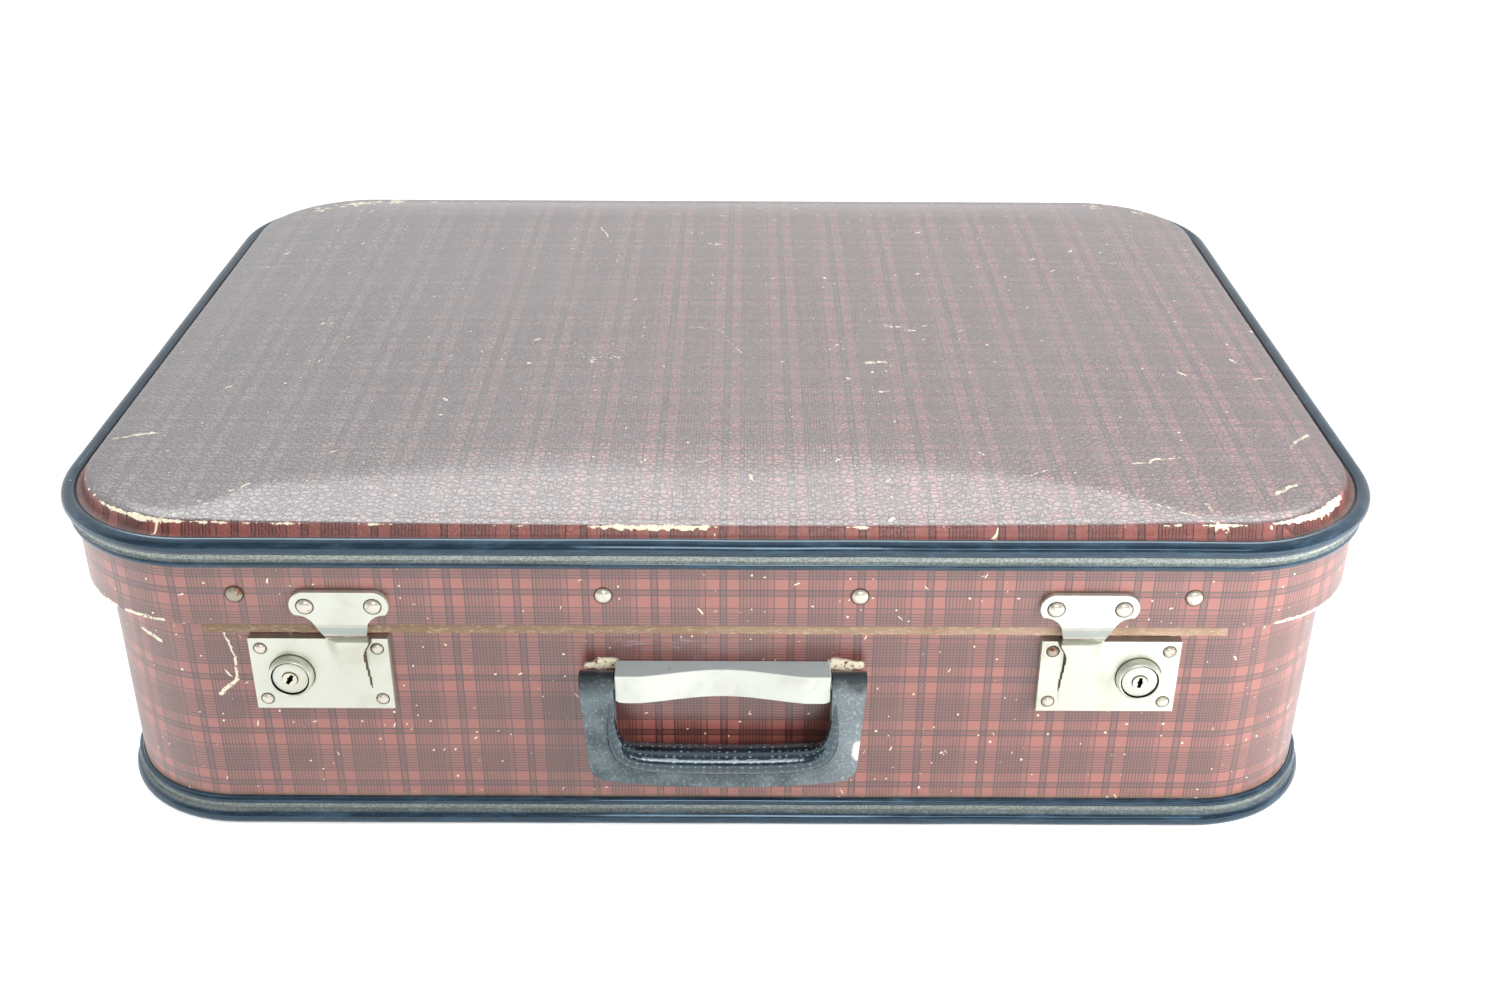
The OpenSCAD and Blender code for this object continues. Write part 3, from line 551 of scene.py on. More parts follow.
def rounded_edges(bm, size, z, corner=18, cell=9.0):
    width, depth, radius = size
    verts = ops.create_grid(bm, x_segments=1, y_segments=1, size=0.5)["verts"]
    place = Matrix.Translation((0, 0, z)) @ Matrix.Diagonal((width, depth, 1, 1))
    put(bm, verts, place)
    bevel(bm, verts, radius, corner, "VERTICES")
    for edge in [e for e in bm.edges if e.calc_length() > radius]:
        cuts = 2 * int(edge.calc_length() / cell / 2) + 1
        ops.subdivide_edges(bm, edges=[edge], cuts=cuts)
    ops.delete(bm, geom=bm.faces[:], context="FACES_ONLY")
    return bm.edges[:]


def way_round(x, y, size):
    """Distance round the outline from the front middle, in mm, for the right-hand half."""
    width, depth, radius = size
    flat, side, quarter = width / 2 - radius, depth / 2 - radius, radius * pi / 2
    x = abs(x)
    if y < -side:
        return x if x <= flat else flat + radius * atan2(x - flat, -side - y)
    if y <= side and x > flat:
        return flat + quarter + y + side
    if x > flat:
        return flat + quarter + 2 * side + radius * atan2(y - side, x - flat)
    return 2 * flat + 2 * quarter + 2 * side - x


def outward(at, size):
    """The outline's own direction outwards at a point on or near it."""
    flat, side = size[0] / 2 - size[2], size[1] / 2 - size[2]
    dx, dy = max(abs(at.x) - flat, 0.0), max(abs(at.y) - side, 0.0)
    if dx == 0.0 and dy == 0.0:
        dy = 1.0
    return Vector((dx if at.x > 0 else -dx, dy if at.y > 0 else -dy, 0)).normalized()


# %% [markdown]
# ## Walls
# Each wall is one strip of board bent round and covered in paper. The outline is extruded upwards in
# rings, mapped, and bowed by a fraction of a millimetre, as old board is. A Solidify modifier gives the
# thickness, with raw card on the cut rim.

# %% Walls
def wall(name, size, levels, body, paper, node):
    bm = bmesh.new()
    ring = rounded_edges(bm, size, levels[0])
    for low, high in zip(levels, levels[1:]):
        ring, verts = grow(bm, ring)
        shift(bm, verts, 0, 0, high - low)
    face_outwards(bm)
    front = min(bm.faces, key=lambda f: f.calc_center_median().y)
    if front.normal.y > 0:
        ops.reverse_faces(bm, faces=bm.faces)
    layer = bm.loops.layers.uv.new("wall_paper")
    for face in bm.faces:
        hand = 1 if face.calc_center_median().x > 0 else -1
        for loop in face.loops:
            co = loop.vert.co
            loop[layer].uv = (hand * way_round(co.x, co.y, size) * MM, co.z * MM)
    for vert in bm.verts:
        bow = noise.noise(vert.co * 0.013) * 0.3 + noise.noise(vert.co * 0.05) * 0.08
        vert.co += outward(vert.co, size) * (bow - 0.25)
    piece = make_piece(name, bm, body, [paper, raw_card], [node])
    thicken(piece, 2.7, rim=1)
    round_edges(piece, 0.7, 2, 60)


base_rings = [3, 8, 14, 22, 32, 42, 52, 62, 72, 82, 92, 102, 110, 117]
lid_rings = [109.5, 113, 118, 124, 130, 136, 142, 147.5]
wall("base_wall", BASE, base_rings, "base", base_paper, "base_band")
wall("lid_wall", LID, lid_rings, "lid", lid_paper, "lid_band")

# %% [markdown]
# ## Lid panel
# The top is a sheet pressed over a shoulder, then crowned a little. A fine grid is pulled into the
# rounded outline ring by ring, so that it has no pole, and its edge is extruded down the shoulder.
# Its front has sagged into a long shallow facet with a crease running in from each front corner.

# %% Lid panel
PANEL = (LID[0] - 28, LID[1] - 28, LID[2] - 14)
RIM_TOP, RISE, CROWN, SAG_SLOPE = 150, 6.5, 3.5, 0.040
SHOULDER = [(14.0, 156.5), (11.0, 156.4), (8.6, 156.2), (7.2, 155.9), (6.5, 155.5), (6.1, 154.8),
            (5.7, 153.6), (5.1, 151.8), (4.6, 150.5), (4.1, 150.0), (2.0, 150.0), (0.3, 150.0)]


def pulled_in(x, y):
    """Moves a point of the unit square onto the rounded outline's own rings."""
    half_w, half_d, radius = PANEL[0] / 2, PANEL[1] / 2, PANEL[2]
    ring = max(abs(x), abs(y))
    cx, cy = (half_w - radius) * ring, (half_d - radius) * ring
    dx, dy = abs(x) * half_w - cx, abs(y) * half_d - cy
    if dx > 0 and dy > 0:
        reach = radius * ring / hypot(dx, dy)
        dx, dy = dx * reach, dy * reach
        return (cx + dx if x > 0 else -cx - dx), (cy + dy if y > 0 else -cy - dy)
    return x * half_w, y * half_d


# Where the paper is rubbed through: x, y, reach and how badly
RUBS = [(-254, -172, 13, 0.5), (-246, -184, 13, 0.5), (-237, -194, 12, 0.42), (-229, -200, 11, 0.34),
        (-216, -202, 10, 0.28), (-204, -202, 8, 0.22), (-176, -202, 7, 0.22), (-136, -202, 6, 0.24),
        (-42, -202, 13, 0.40), (-24, -203, 16, 0.46), (-6, -202, 13, 0.40), (-62, -46, 26, 0.85),
        (59, -203, 6, 0.24), (208, -203, 9, 0.26), (239, -198, 17, 0.38), (255, -184, 17, 0.70),
        (-246, 180, 18, 1.0), (-226, 190, 18, 1.1), (-204, 194, 18, 1.1), (-180, 195, 15, 1.0),
        (226, 192, 19, 1.0), (250, 180, 16, 0.9)]


def rubbing(x, y, inset):
    """How likely the paper is to be rubbed through, from 0 to 1."""
    crease = max(0.0, 1 - abs(inset - 6.5) / 1.5)
    rub = crease * (0.42 + 0.14 * noise.noise(Vector((x * 0.06, y * 0.06, 3))))
    for sx, sy, reach, amount in RUBS:
        near = max(0.0, 1 - hypot(x - sx, y - sy) / reach)
        rub += amount * near * (0.62 + 0.38 * crease)
    return rub


# The fold's distance from the front edge, along the width
FOLD = [(-228, 0), (-219, 2), (-209, 6.5), (-195, 21), (-187, 24), (-150, 32), (-90, 46), (-20, 54),
        (60, 48), (127, 33), (156, 24), (168, 20), (177.5, 12), (187, 5), (197, 0)]


def sag(x, y):
    """How far the sagged front has sunk; its back edge is the fold, sharp near the corners."""
    fold = 0.0
    for (x0, d0), (x1, d1) in zip(FOLD, FOLD[1:]):
        if x0 <= x < x1:
            fold = d0 + (d1 - d0) * (x - x0) / (x1 - x0)
    blur = 2 + 48 * max(0.0, 1 - abs(x + 15) / 175)
    sunk = fold - max(0.0, y + PANEL[1] / 2)
    share = min(1.0, max(0.0, sunk / blur + 0.5)) if fold > 0 else 0.0
    return SAG_SLOPE * (max(0.0, sunk) if share in (0.0, 1.0) else share * share * blur / 2)


def panel_height(x, y):
    """The crown, less the sag."""
    wide, half = max(0.0, 1 - (2 * x / PANEL[0]) ** 2), PANEL[1] / 2
    if y < 0:
        crown = CROWN * wide ** 0.6 * (1 - (-y / half) ** 1.4)
    else:
        cx, cy = max(0.0, abs(x) - PANEL[0] / 2 + PANEL[2]), max(0.0, y - half + PANEL[2])
        rise = max(0.0, 1 - (hypot(cx, cy) / PANEL[2])) if cy > 0 else 1.0
        full = (1 - (1 - min(1.0, rise * 1.4)) ** 2) * min(1.0, wide * 2.2)
        crown = CROWN * (wide ** 0.6 * (1 - y / half) + full * y / half)
    dent = 0.3 * noise.noise(Vector((x * 0.012, y * 0.012, 0.5))) * min(1.0, crown)
    return RIM_TOP + RISE + crown + dent - sag(x, y)


bm = bmesh.new()
ops.create_grid(bm, x_segments=150, y_segments=110, size=1.0)
rubbed, turned_down = bm.verts.layers.float.new("rubbed"), bm.verts.layers.float.new("turned_down")
for vert in bm.verts:
    x, y = pulled_in(vert.co.x, vert.co.y)
    vert.co = (x, y, panel_height(x, y))
    vert[rubbed] = rubbing(x, y, 14.0)
ring = [e for e in bm.edges if e.is_boundary]
for (before, _), (inset, z) in zip(SHOULDER, SHOULDER[1:]):
    ring, verts = grow(bm, ring)
    for vert in verts:
        vert.co += outward(vert.co, PANEL) * (before - inset)
        vert.co.z = z - sag(vert.co.x, vert.co.y) * (z - RIM_TOP) / RISE
        vert[rubbed] = rubbing(vert.co.x, vert.co.y, inset)
        vert[turned_down] = min(1.0, max(0.0, (7.4 - inset) / 1.3))
face_outwards(bm)
if sum(f.normal.z for f in bm.faces) < 0:
    ops.reverse_faces(bm, faces=bm.faces)
panel = make_piece("lid_top_panel", bm, "lid", [panel_paper], ["lid_panel"], smooth=70)
thicken(panel, 0.4)

# %% [markdown]
# ## Piping
# A large bead caps the edge, a thin web covers the joint, and a small bead ends it. Each is a ring of
# edges carried round the outline: straight runs are extruded, corners are spun, so the vinyl stays round.

# %% Piping
def carried_round(bm, ring, size, cell=12.0, corner=16):
    width, depth, radius = size
    flat, side = width / 2 - radius, depth / 2 - radius
    runs = [(flat, (1, 0), (flat, -side)), (2 * side, (0, 1), (flat, side)),
            (2 * flat, (-1, 0), (-flat, side)), (2 * side, (0, -1), (-flat, -side)), (flat, (1, 0), None)]
    for length, way, centre in runs:
        steps = max(2, int(length / cell))
        for _ in range(steps):
            ring, verts = grow(bm, ring)
            shift(bm, verts, way[0] * length / steps, way[1] * length / steps, 0)
        if centre:
            spun = ops.spin(bm, geom=ring, cent=(*centre, 0), axis=(0, 0, 1), angle=pi / 2, steps=corner)
            ring = only(spun["geom_last"], BMEdge)


# Large bead, small bead and web: how far out, radius and stretch upwards
BEADS = [(1.0, 3.7, 1.0), (0.6, 1.9, 1.0), (0.1, 1.0, 4.2)]


def piping(name, size, body, node, heights):
    bm = bmesh.new()
    for z, (out, radius, tall) in zip(heights, BEADS):
        start = ops.create_circle(bm, segments=22, radius=radius)["verts"]
        place = (Matrix.Translation((0, -size[1] / 2 - out, z)) @ Matrix.Rotation(pi / 2, 4, "Y")
                 @ Matrix.Diagonal((tall, 1, 1, 1)))
        put(bm, start, place)
        carried_round(bm, [e for e in bm.edges if e.verts[0] in start], size)
    ops.remove_doubles(bm, verts=bm.verts, dist=0.01)
    face_outwards(bm)
    for vert in bm.verts:
        vert.co += Vector((0, 0, 1)) * noise.noise(vert.co * 0.02) * 0.22
        vert.co += outward(vert.co, size) * noise.noise(vert.co * 0.03 + Vector((9, 0, 0))) * 0.2
    make_piece(name, bm, body, [piping_vinyl], [node], smooth=60)


piping("lid_edge_piping", LID, "lid", "lid_piping", (148.2, 139.9, 143.4))
piping("bottom_edge_piping", BASE, "base", "bottom_piping", (3.97, 12.05, 8.4))

# %% [markdown]
# ## Front strip
# A rebated strip of card is riveted inside the lid's front. Its lower edge shows below the lid as a
# tan line, torn into fibres by years of closing. The profile is extruded along the case in many short
# steps, and its lower edge is then roughened.

# %% Front strip
bm = bmesh.new()
corners = [(-206, 103.8), (-203, 103.8), (-203, 117.3), (-198, 117.3), (-198, 133), (-206, 133)]
half, step = 215, 2.0
bm.faces.new([bm.verts.new((-half, y, z)) for y, z in corners])
faces = bm.faces[:]
for k in range(half):
    made = ops.extrude_face_region(bm, geom=faces)["geom"]
    if k > 0:
        ops.delete(bm, geom=faces, context="FACES")
    faces = only(made, BMFace)
    shift(bm, only(made, BMVert), step, 0, 0)
face_outwards(bm)
for vert in bm.verts:
    if vert.co.z < 105:
        fibres = 0.45 * noise.noise(Vector((vert.co.x * 0.35, vert.co.y, 0)))
        vert.co.z += fibres + 0.35 * noise.noise(Vector((vert.co.x * 0.04, 5, 0)))
        vert.co.y += 0.25 * noise.noise(Vector((vert.co.x * 0.3, 0, 7)))
strip = make_piece("front_closing_strip", bm, "lid", [raw_card], ["front_strip"])
round_edges(strip, 0.4, 2)

# %% [markdown]
# ## Rivets
# Every rivet is one turned shape: a low dome, a shank through the board and a clenched end inside. A
# half profile is drawn once and spun, then placed facing the front or the back.

# %% Rivets
# Middles of the right-hand fittings; the left-hand ones mirror them
LOCK_X, LOCK_Y, KEY_X, KEY_Z, HASP_X, HINGE_X = 167.6, -205, 180.3, 82.35, 155, 165


def spin_full(bm, profile, steps, closed=False):
    """Turns a half profile, of radius and height, all the way round the Z axis."""
    verts = [bm.verts.new((r, 0, h)) for r, h in profile]
    ends = verts[1:] + verts[:1] if closed else verts[1:]
    edges = [bm.edges.new(pair) for pair in zip(verts, ends)]
    ops.spin(bm, geom=verts + edges, cent=(0, 0, 0), axis=(0, 0, 1), angle=2 * pi, steps=steps,
             use_merge=True)


def rivets(name, body, node, places, facing, head, tall, grip, rusty=()):
    bm = bmesh.new()
    for count, (x, y, z) in enumerate(places):
        dome = [(head * sin(a), tall * cos(a)) for a in (0, 0.3, 0.6, 0.9, 1.2, 1.42, pi / 2)]
        dome[0] = (0.0, tall - 0.18)
        profile = dome + [(head + 0.45, 0.04), (head + 0.45, -0.02), (1.5, -0.02), (1.5, -grip),
                          (2.9, -grip), (2.6, -grip - 0.7), (0.0, -grip - 0.8)]
        spin_full(bm, profile, 20)
        fresh = [v for v in bm.verts if not v.tag]
        turn = Matrix.Rotation(facing * pi / 2, 4, "X")
        put(bm, fresh, Matrix.Translation((x, y, z)) @ turn)
        for vert in fresh:
            vert.tag = True
            for face in vert.link_faces:
                middle = turn.inverted() @ (face.calc_center_median() - Vector((x, y, z)))
                # The ring round the head, where it meets the sheet, takes the painted shade: a painted
                # contact shadow.
                skirt = middle.z < 0.12 and hypot(middle.x, middle.y) > head
                face.material_index = 2 if skirt else int(count in rusty)
    ops.remove_doubles(bm, verts=bm.verts, dist=0.005)
    face_outwards(bm)
    make_piece(name, bm, body, [rivet_steel, rivet_rusty, painted_shade], [node], smooth=50)


rivets("lid_strip_rivets", "lid", "strip_rivets",
       [(x, -209, 124.5) for x in (-198, -46, 60, 198)], 1, 3.5, 1.6, 11, rusty=(0,))
for side, hand in (("left", -1), ("right", 1)):
    rivets(side + "_hasp_plate_rivets", "lid", side + "_hasp_rivets",
           [(hand * HASP_X + dx, -211.4, 120.2) for dx in (-14, 14)], 1, 3.4, 1.6, 13.4)
    rivets(side + "_lock_plate_rivets", "base", side + "_lock_rivets",
           [(hand * LOCK_X + dx, LOCK_Y, KEY_Z + dz) for dx in (-24.7, 24.7) for dz in (-12.85, 12.85)],
           1, 2.5, 1.3, 8.4, rusty=(1,) if hand > 0 else ())
    rivets(side + "_hinge_wall_rivets", "base", side + "_hinge_base_rivets",
           [(hand * HINGE_X + dx, 202.2, 87) for dx in (-13, 13)], -1, 2.7, 1.3, 4.8)
    rivets(side + "_hinge_top_rivets", "lid", side + "_hinge_lid_rivets",
           [(hand * HINGE_X + dx, 210.2, 122.5) for dx in (-13, 13)], -1, 2.7, 1.3, 4.8)

# %% [markdown]
# ## Lock cases
# A lock case is a shallow pressed box. Beside the keyhole it swells into a wedge that makes room for
# the hasp's tongue; the wedge ends in a sharp wavy step on the inboard side and fades on the other.
# A fine grid takes the swelling, and its edge is extruded back to the wall.

# %% Lock cases
def smooth(low, high, value):
    share = min(1.0, max(0.0, (value - low) / (high - low)))
    return share * share * (3 - 2 * share)


def lock_case(side, hand):
    bm = bmesh.new()
    ops.create_grid(bm, x_segments=160, y_segments=60, size=0.5)
    width, height = 59, 35.7
    for vert in bm.verts:
        across, up = vert.co.x * width, (vert.co.y + 0.5) * height
        down = height - up
        step = -22.6 + 2.4 * smooth(0, 7, down) + 0.5 * sin(down * 0.2)
        swell = smooth(step - 0.5, step + 0.5, across) * (1 - smooth(-9.0 - down * 0.25, -2.5, across))
        proud = 3.0 * max(0.0, 1 - down / 33.7) * swell
        vert.co = (hand * (LOCK_X + across), LOCK_Y - proud, 64.5 + up)
    ring = [e for e in bm.edges if e.is_boundary]
    for depth in (0.6, 3.3):
        ring, verts = grow(bm, ring)
        shift(bm, verts, 0, depth, 0)
    for vert in verts:
        vert.co.y = -201.05
    face_outwards(bm)
    if sum(f.normal.y for f in bm.faces) > 0:
        ops.reverse_faces(bm, faces=bm.faces)
    for face in bm.faces:
        # The steep faces of the wavy step take the painted shade: a painted shadow along the step.
        face.material_index = int(abs(face.normal.x) > 0.72 and face.calc_center_median().y < LOCK_Y)
    piece = make_piece(side + "_lock_cover", bm, "base", [nickel, painted_shade],
                       [side + "_lock_case"], smooth=32)
    thicken(piece, 0.8)
    round_edges(piece, 0.45, 3, 50)


lock_case("left", -1)
lock_case("right", 1)

# %% [markdown]
# ## Keyhole boss, disc and plug
# The boss is a turned collar with a rounded lip; inside it sits a disc, and in that the plug that the
# key turns. The keyway is a crooked slot: its outline and the plug's rim are bridged, then pushed in.

# %% Keyhole boss, disc and plug
BOSS = [(7.98, 0), (9.95, 0), (9.9, 0.15), (9.5, 0.3), (9.5, 2.9), (9.2, 3.7), (8.8, 4.2), (8.4, 4.38),
        (8.1, 4.2), (7.98, 3.7)]
DISC = [(3.3, 0), (7.6, 0), (7.6, 3.2), (7.45, 3.6), (7.1, 3.75), (3.6, 3.85), (3.3, 3.6)]
KEYWAY = [(-0.8, 2.55), (0.6, 2.55), (0.8, 1.0), (1.4, 0.4), (1.0, -0.6), (0.75, -2.55), (-0.75, -2.55),
          (-0.75, -0.7), (-1.35, 0.0), (-0.9, 0.8)]


def turned_piece(bm, profile, x):
    spin_full(bm, profile, 48, closed=True)
    ops.remove_doubles(bm, verts=bm.verts, dist=0.001)
    facing = Matrix.Translation((x, LOCK_Y, KEY_Z)) @ Matrix.Rotation(pi / 2, 4, "X")
    put(bm, bm.verts, facing)
    face_outwards(bm)
    for face in bm.faces:
        middle = face.calc_center_median() - Vector((x, 0, KEY_Z))
        reach = hypot(middle.x, middle.z)
        # The walls of the grooves round the disc and round the plug's bore take the painted gap shade.
        gap = abs(face.normal.y) < 0.5 and (7.4 < reach < 8.1 or reach < 3.4)
        # The foot of the boss, where it meets the plate, takes the painted shade.
        face.material_index = int(gap) + 2 * (reach > 9.52)


def keyhole(side, hand, tilt):
    x = hand * KEY_X
    bm = bmesh.new()
    turned_piece(bm, BOSS, x)
    make_piece(side + "_keyhole_boss", bm, "base", [nickel, painted_gap_shade, painted_shade],
               [side + "_lock_collar"])
    bm = bmesh.new()
    turned_piece(bm, DISC, x)
    make_piece(side + "_keyhole_disc", bm, "base", [nickel, painted_gap_shade], [side + "_lock_disc"])
    bm = bmesh.new()
    ops.create_circle(bm, segments=36, radius=3.08)
    rim_edges = bm.edges[:]
    slot = [bm.verts.new((across, up, 0)) for across, up in KEYWAY]
    slot_edges = [bm.edges.new((slot[k], slot[k - 1])) for k in range(len(slot))]
    ops.bridge_loops(bm, edges=rim_edges + slot_edges)
    for edges, depth in ((rim_edges, -5.4), (slot_edges, -3.5)):
        ring, verts = grow(bm, edges)
        shift(bm, verts, 0, 0, depth)
        ops.holes_fill(bm, edges=ring)
    for face in bm.faces:
        middle = face.calc_center_median()
        # The inside of the keyway takes the painted gap shade: painted shade in the hole.
        face.material_index = int(middle.z < -0.2 and hypot(middle.x, middle.y) < 2.75)
    facing = Matrix.Translation((x, -209.55, KEY_Z)) @ Matrix.Rotation(pi / 2, 4, "X")
    put(bm, bm.verts, facing @ Matrix.Rotation(radians(tilt), 4, "Z"))
    face_outwards(bm)
    make_piece(side + "_keyhole_plug", bm, side + "_plug", [key_brass, painted_gap_shade],
               [side + "_key_plug"], smooth=30)


keyhole("left", -1, -33)
keyhole("right", 1, -8)

# %% [markdown]
# ## Hasps and hinge leaves
# Each hasp is cut from thick sheet: two rounded ears, a neck that sweeps in, and a tongue that steps
# back into the lock. The CAD solid already has that shape, so a copy of it is merged and its sharp
# edges are rounded, which gives the bright line that a pressed edge has. The hinges' leaves are too.

# %% Softened copies of CAD solids
def softened(name, node, body, finish, width):
    bm = bmesh.new()
    bm.from_mesh(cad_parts[node].data)
    ops.scale(bm, vec=(1 / MM, 1 / MM, 1 / MM), verts=bm.verts)
    ops.remove_doubles(bm, verts=bm.verts, dist=0.01)
    ops.dissolve_limit(bm, angle_limit=radians(1), verts=bm.verts, edges=bm.edges)
    piece = make_piece(name, bm, body, [finish], [node], smooth=25)
    round_edges(piece, width, 3, 35)


for side in ("left", "right"):
    softened(side + "_hasp_plate", side + "_hasp", "lid", hasp_nickel, 0.55)
    softened(side + "_hinge_wall_leaf", side + "_hinge_base_leaf", "base", hinge_steel, 0.3)
    softened(side + "_hinge_top_leaf", side + "_hinge_lid_leaf", "lid", hinge_steel, 0.3)

# %% [markdown]
# ## Handle bracket
# A folded nickel cover hides the handle's pins. Seen from above its front is hollow in the middle and
# flat at both ends. A box is cut across into slices, its front is pulled to that curve, and the open
# back and underside are left off before it is given the thickness of sheet.

# %% Handle bracket
HANDLE_X = 3.3
bm = bmesh.new()
ops.create_cube(bm, size=1.0)
box = Matrix.Translation((0, -207.25, 80.3)) @ Matrix.Diagonal((91.4, 12.5, 13.8, 1))
put(bm, bm.verts, box)
long_edges = [e for e in bm.edges if abs(e.verts[0].co.x - e.verts[1].co.x) > 1]
ops.subdivide_edges(bm, edges=long_edges, cuts=47, use_grid_fill=True)
open_sides = [f for f in bm.faces if f.normal.z < -0.9 or f.normal.y > 0.9]
ops.delete(bm, geom=open_sides, context="FACES")
for vert in bm.verts:
    if vert.co.y < -210:
        share = min(1.0, abs(vert.co.x) / 35.0)
        vert.co.y = -208 - 5.5 * (0.5 * share * share + 0.25 - 0.25 * cos(pi * share))
        if vert.co.z < 75:
            vert.co.z += 1.3 * max(0.0, abs(vert.co.x) - 43.5) / 2.2
    vert.co.x += HANDLE_X
bracket = make_piece("handle_bracket_cover", bm, "base", [bracket_nickel],
                     ["handle_bracket"], smooth=30)
thicken(bracket, 1.1)
round_edges(bracket, 0.9, 4, 50)
rivets("handle_bracket_wall_rivets", "base", "handle_bracket_rivets",
       [(HANDLE_X + dx, -202, 78.7) for dx in (-32, 32)], 1, 3.0, 1.6, 5.6)

# %% [markdown]
# ## Handle
# The handle is one moulding with two looks: a flat grained frame, and a fat polished roll along the
# inside of the grip. The frame starts as a U of eight points whose corners are bevelled; it is then
# extruded through its thickness. The roll is a ring carried along a path that turns up at both ends.

# %% Handle frame
bm = bmesh.new()
top_z, foot_z = 86.6, 34.6
outline = [(-61, top_z), (-57.4, foot_z), (57.4, foot_z), (61, top_z), (46.3, top_z), (46.3, 42),
           (-46.3, 42), (-46.3, top_z)]
verts = [bm.verts.new((x, -203.6, z)) for x, z in outline]
bm.faces.new(verts)
bevel(bm, [verts[5], verts[6]], 8, 8, "VERTICES")
bevel(bm, [verts[1], verts[2]], 7, 6, "VERTICES")
foot = [e for e in bm.edges if all(abs(v.co.z - foot_z) < 0.01 for v in e.verts)]
ops.subdivide_edges(bm, edges=foot, cuts=31)
for vert in bm.verts:
    if vert.co.z < 40:
        vert.co.z -= 4.1 * max(0.0, 1 - (vert.co.x / 57.4) ** 2)
made = ops.extrude_face_region(bm, geom=bm.faces[:])["geom"]
shift(bm, only(made, BMVert), 0, -11.9, 0)
face_outwards(bm)
tops = [e for e in bm.edges if all(v.co.z > top_z - 0.1 for v in e.verts)]
bevel(bm, [e for e in tops if abs(e.verts[0].co.x - e.verts[1].co.x) > 1], 6.0, 8, "EDGES")
shift(bm, bm.verts, HANDLE_X, 0, 0)
handle = make_piece("handle_frame", bm, "handle", [handle_matt], ["handle"], smooth=40)
round_edges(handle, 1.8, 4, 50)

# %% Handle roll
bm = bmesh.new()
along, around = bm.verts.layers.float.new("along"), bm.verts.layers.float.new("around")
# Left half of the path: x, z, radius and how far forward the roll reaches
path = [(-47.7, 77, 1.1, -215.6), (-47.9, 69, 1.5, -216.0), (-47.6, 60.5, 2.4, -216.6),
        (-46.7, 53.2, 3.6, -217.3), (-43.9, 47.2, 5.2, -217.8), (-37.5, 43.8, 6.2, -218.0),
        (-25.0, 42.6, 6.5, -218.1), (-12.0, 42.3, 6.5, -218.1), (0.0, 42.2, 6.5, -218.1)]
path += [(-x, z, r, front) for x, z, r, front in reversed(path[:-1])]
ring, travelled = None, 0.0
for k, (x, z, radius, front) in enumerate(path):
    ahead, behind = path[min(k + 1, len(path) - 1)], path[max(k - 1, 0)]
    lean = atan2(ahead[1] - behind[1], ahead[0] - behind[0])
    size = Matrix.Diagonal((radius, radius * (1.12 if abs(x) < 40 else 1.05), 1, 1))
    centre = Vector((x + HANDLE_X, front + size[1][1], z))
    place = Matrix.Translation(centre) @ Matrix.Rotation(pi / 2 - lean, 4, "Y") @ size
    if ring is None:
        verts = ops.create_circle(bm, segments=32, radius=1.0, cap_ends=True)["verts"]
        put(bm, verts, place)
        ring = bm.edges[:]
    else:
        travelled += hypot(x - path[k - 1][0], z - path[k - 1][1])
        ring, verts = grow(bm, ring)
        put(bm, verts, place @ last_place.inverted())
    for vert in verts:
        local = place.inverted() @ vert.co
        vert[along], vert[around] = travelled * MM, 6.5 * MM * atan2(-local.y, -local.x)
    last_place = place
ops.holes_fill(bm, edges=ring)
face_outwards(bm)
roll = make_piece("handle_roll", bm, "handle", [handle_gloss], smooth=60)
rounder = roll.modifiers.new("rounder", "SUBSURF")
rounder.levels = rounder.render_levels = 1

# %% [markdown]
# ## CAD solids that stay
# The hidden steel, the pins and the linings have the right shape already. They keep their solids and
# only take a finish.

# %% Finishes for the CAD solids
kept = {"bottom_panel": raw_card, "base_lining": lining_paper, "lid_lining": lining_paper,
        "lid_wall_lining": lining_paper, "handle_backing_plate": inner_steel, "handle_pins": rivet_steel}
for side in ("left", "right"):
    kept.update({side + "_lock_backplate": inner_steel, side + "_lock_bolt": inner_steel,
                 side + "_hinge_pin": rivet_steel})
for node, finish in kept.items():
    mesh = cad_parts[node].data
    mesh.materials.clear()
    mesh.materials.append(finish)
print("CAD solids kept:", len(kept))

# %% [markdown]
# ## Floor and light
# The case stands on a white floor in a white studio. A softbox high behind it lays the long glare on
# the lid, one at each side rounds the ends, and two in front give the beads and the grip their bright
# lines. The side ones are kept out of the gloss, where the lid would mirror them as hard squares. The
# camera sees pure white. Gloss sees the white floor and back, but not the side where the camera
# stands, which is unlit in a studio. The light that falls on the case stays at a plain level.

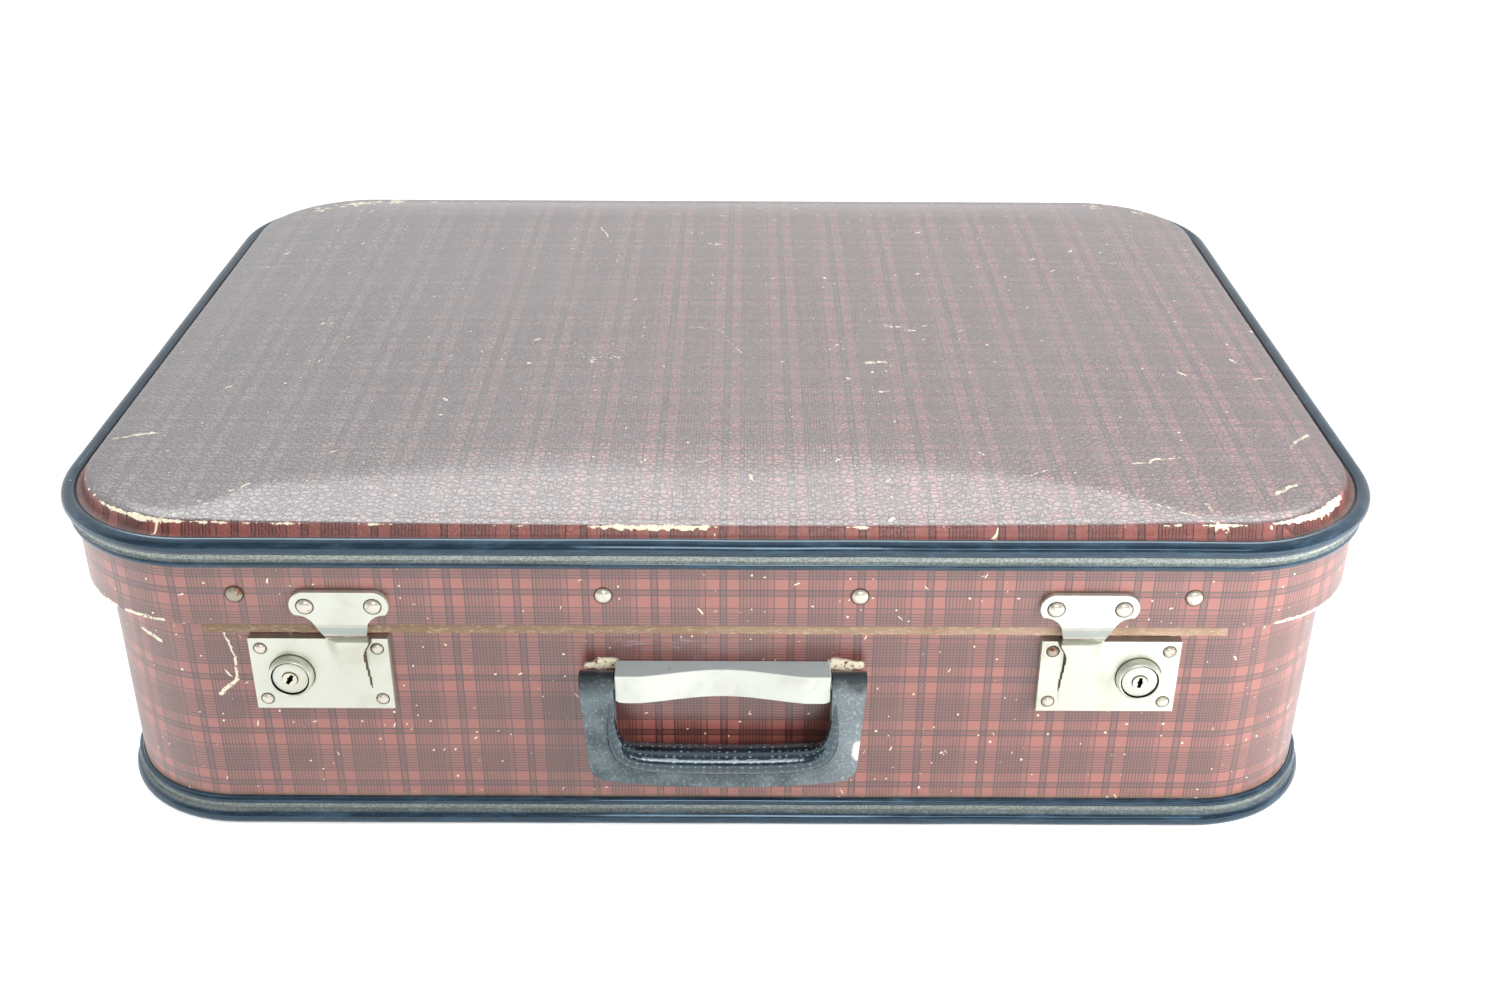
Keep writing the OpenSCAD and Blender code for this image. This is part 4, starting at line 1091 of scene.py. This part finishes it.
# %% Floor and light
RAYS = ("Is Camera Ray", "Is Glossy Ray", "Is Transmission Ray")
floor_white, sh = new_finish("floor_white")
camera_ray, glossy_ray, clear_ray = sh.node("LightPath", out=RAYS)
plain = sh.node("BsdfDiffuse", {}, {"Color": (0.86, 0.87, 0.87, 1)})
away = sh.node("VectorMath", {"operation": "LENGTH"}, {0: object_place(sh)}, out="Value")
strength = camera_ray.most(glossy_ray.most(clear_ray) * 0.4) * (0.45 + ease(sh, away, 0.8, 2.4) * 0.3)
glow = sh.node("Emission", {}, {"Color": (1, 1, 1, 1), "Strength": strength})
both = sh.node("AddShader", {}, {0: plain, 1: glow})
sh.node("OutputMaterial", {}, {"Surface": both})
bm = bmesh.new()
ops.create_grid(bm, x_segments=1, y_segments=1, size=6.0)
mesh = bpy.data.meshes.new("studio_floor")
bm.to_mesh(mesh)
bm.free()
mesh.materials.append(floor_white)
floor = bpy.data.objects.new("studio_floor", mesh)
scene.collection.objects.link(floor)

scene.world = bpy.data.worlds.new("white_studio")
sh = Shader(scene.world)
camera_ray, glossy_ray, clear_ray = sh.node("LightPath", out=RAYS)
seen = camera_ray.most(glossy_ray).most(clear_ray)
_, back, _ = xyz(sh, sh.node("TexCoord", out="Generated"))
unlit = ease(sh, back, -0.05, -0.5) * glossy_ray
sky = sh.node("Background", {}, {"Color": (1, 1, 1, 1), "Strength": 0.30 + seen * 0.70 - unlit * 0.7})
sh.node("OutputWorld", {}, {"Surface": sky})

for name, place, width, depth, watts in [
        ("back_softbox", (0.0, 1.5, 1.92), 2.6, 1.1, 34.0),
        ("front_softbox", (0.45, -1.85, 1.0), 0.9, 0.22, 2.6),
        ("grip_softbox", (0.0, -1.85, 1.05), 0.45, 0.8, 5.4),
        ("right_softbox", (0.78, -0.62, 0.45), 0.7, 0.7, 14.5),
        ("left_softbox", (-1.2, -0.25, 0.45), 0.8, 0.8, 12.0)]:
    lamp = bpy.data.lights.new(name, "AREA")
    lamp.energy, lamp.shape, lamp.size, lamp.size_y = watts, "RECTANGLE", width, depth
    holder = bpy.data.objects.new(name, lamp)
    aim = (Vector((0, 0, 0.08)) - Vector(place)).to_track_quat("-Z", "Y")
    holder.matrix_world = Matrix.Translation(place) @ aim.to_matrix().to_4x4()
    holder.visible_glossy = name not in ("left_softbox", "right_softbox")
    scene.collection.objects.link(holder)
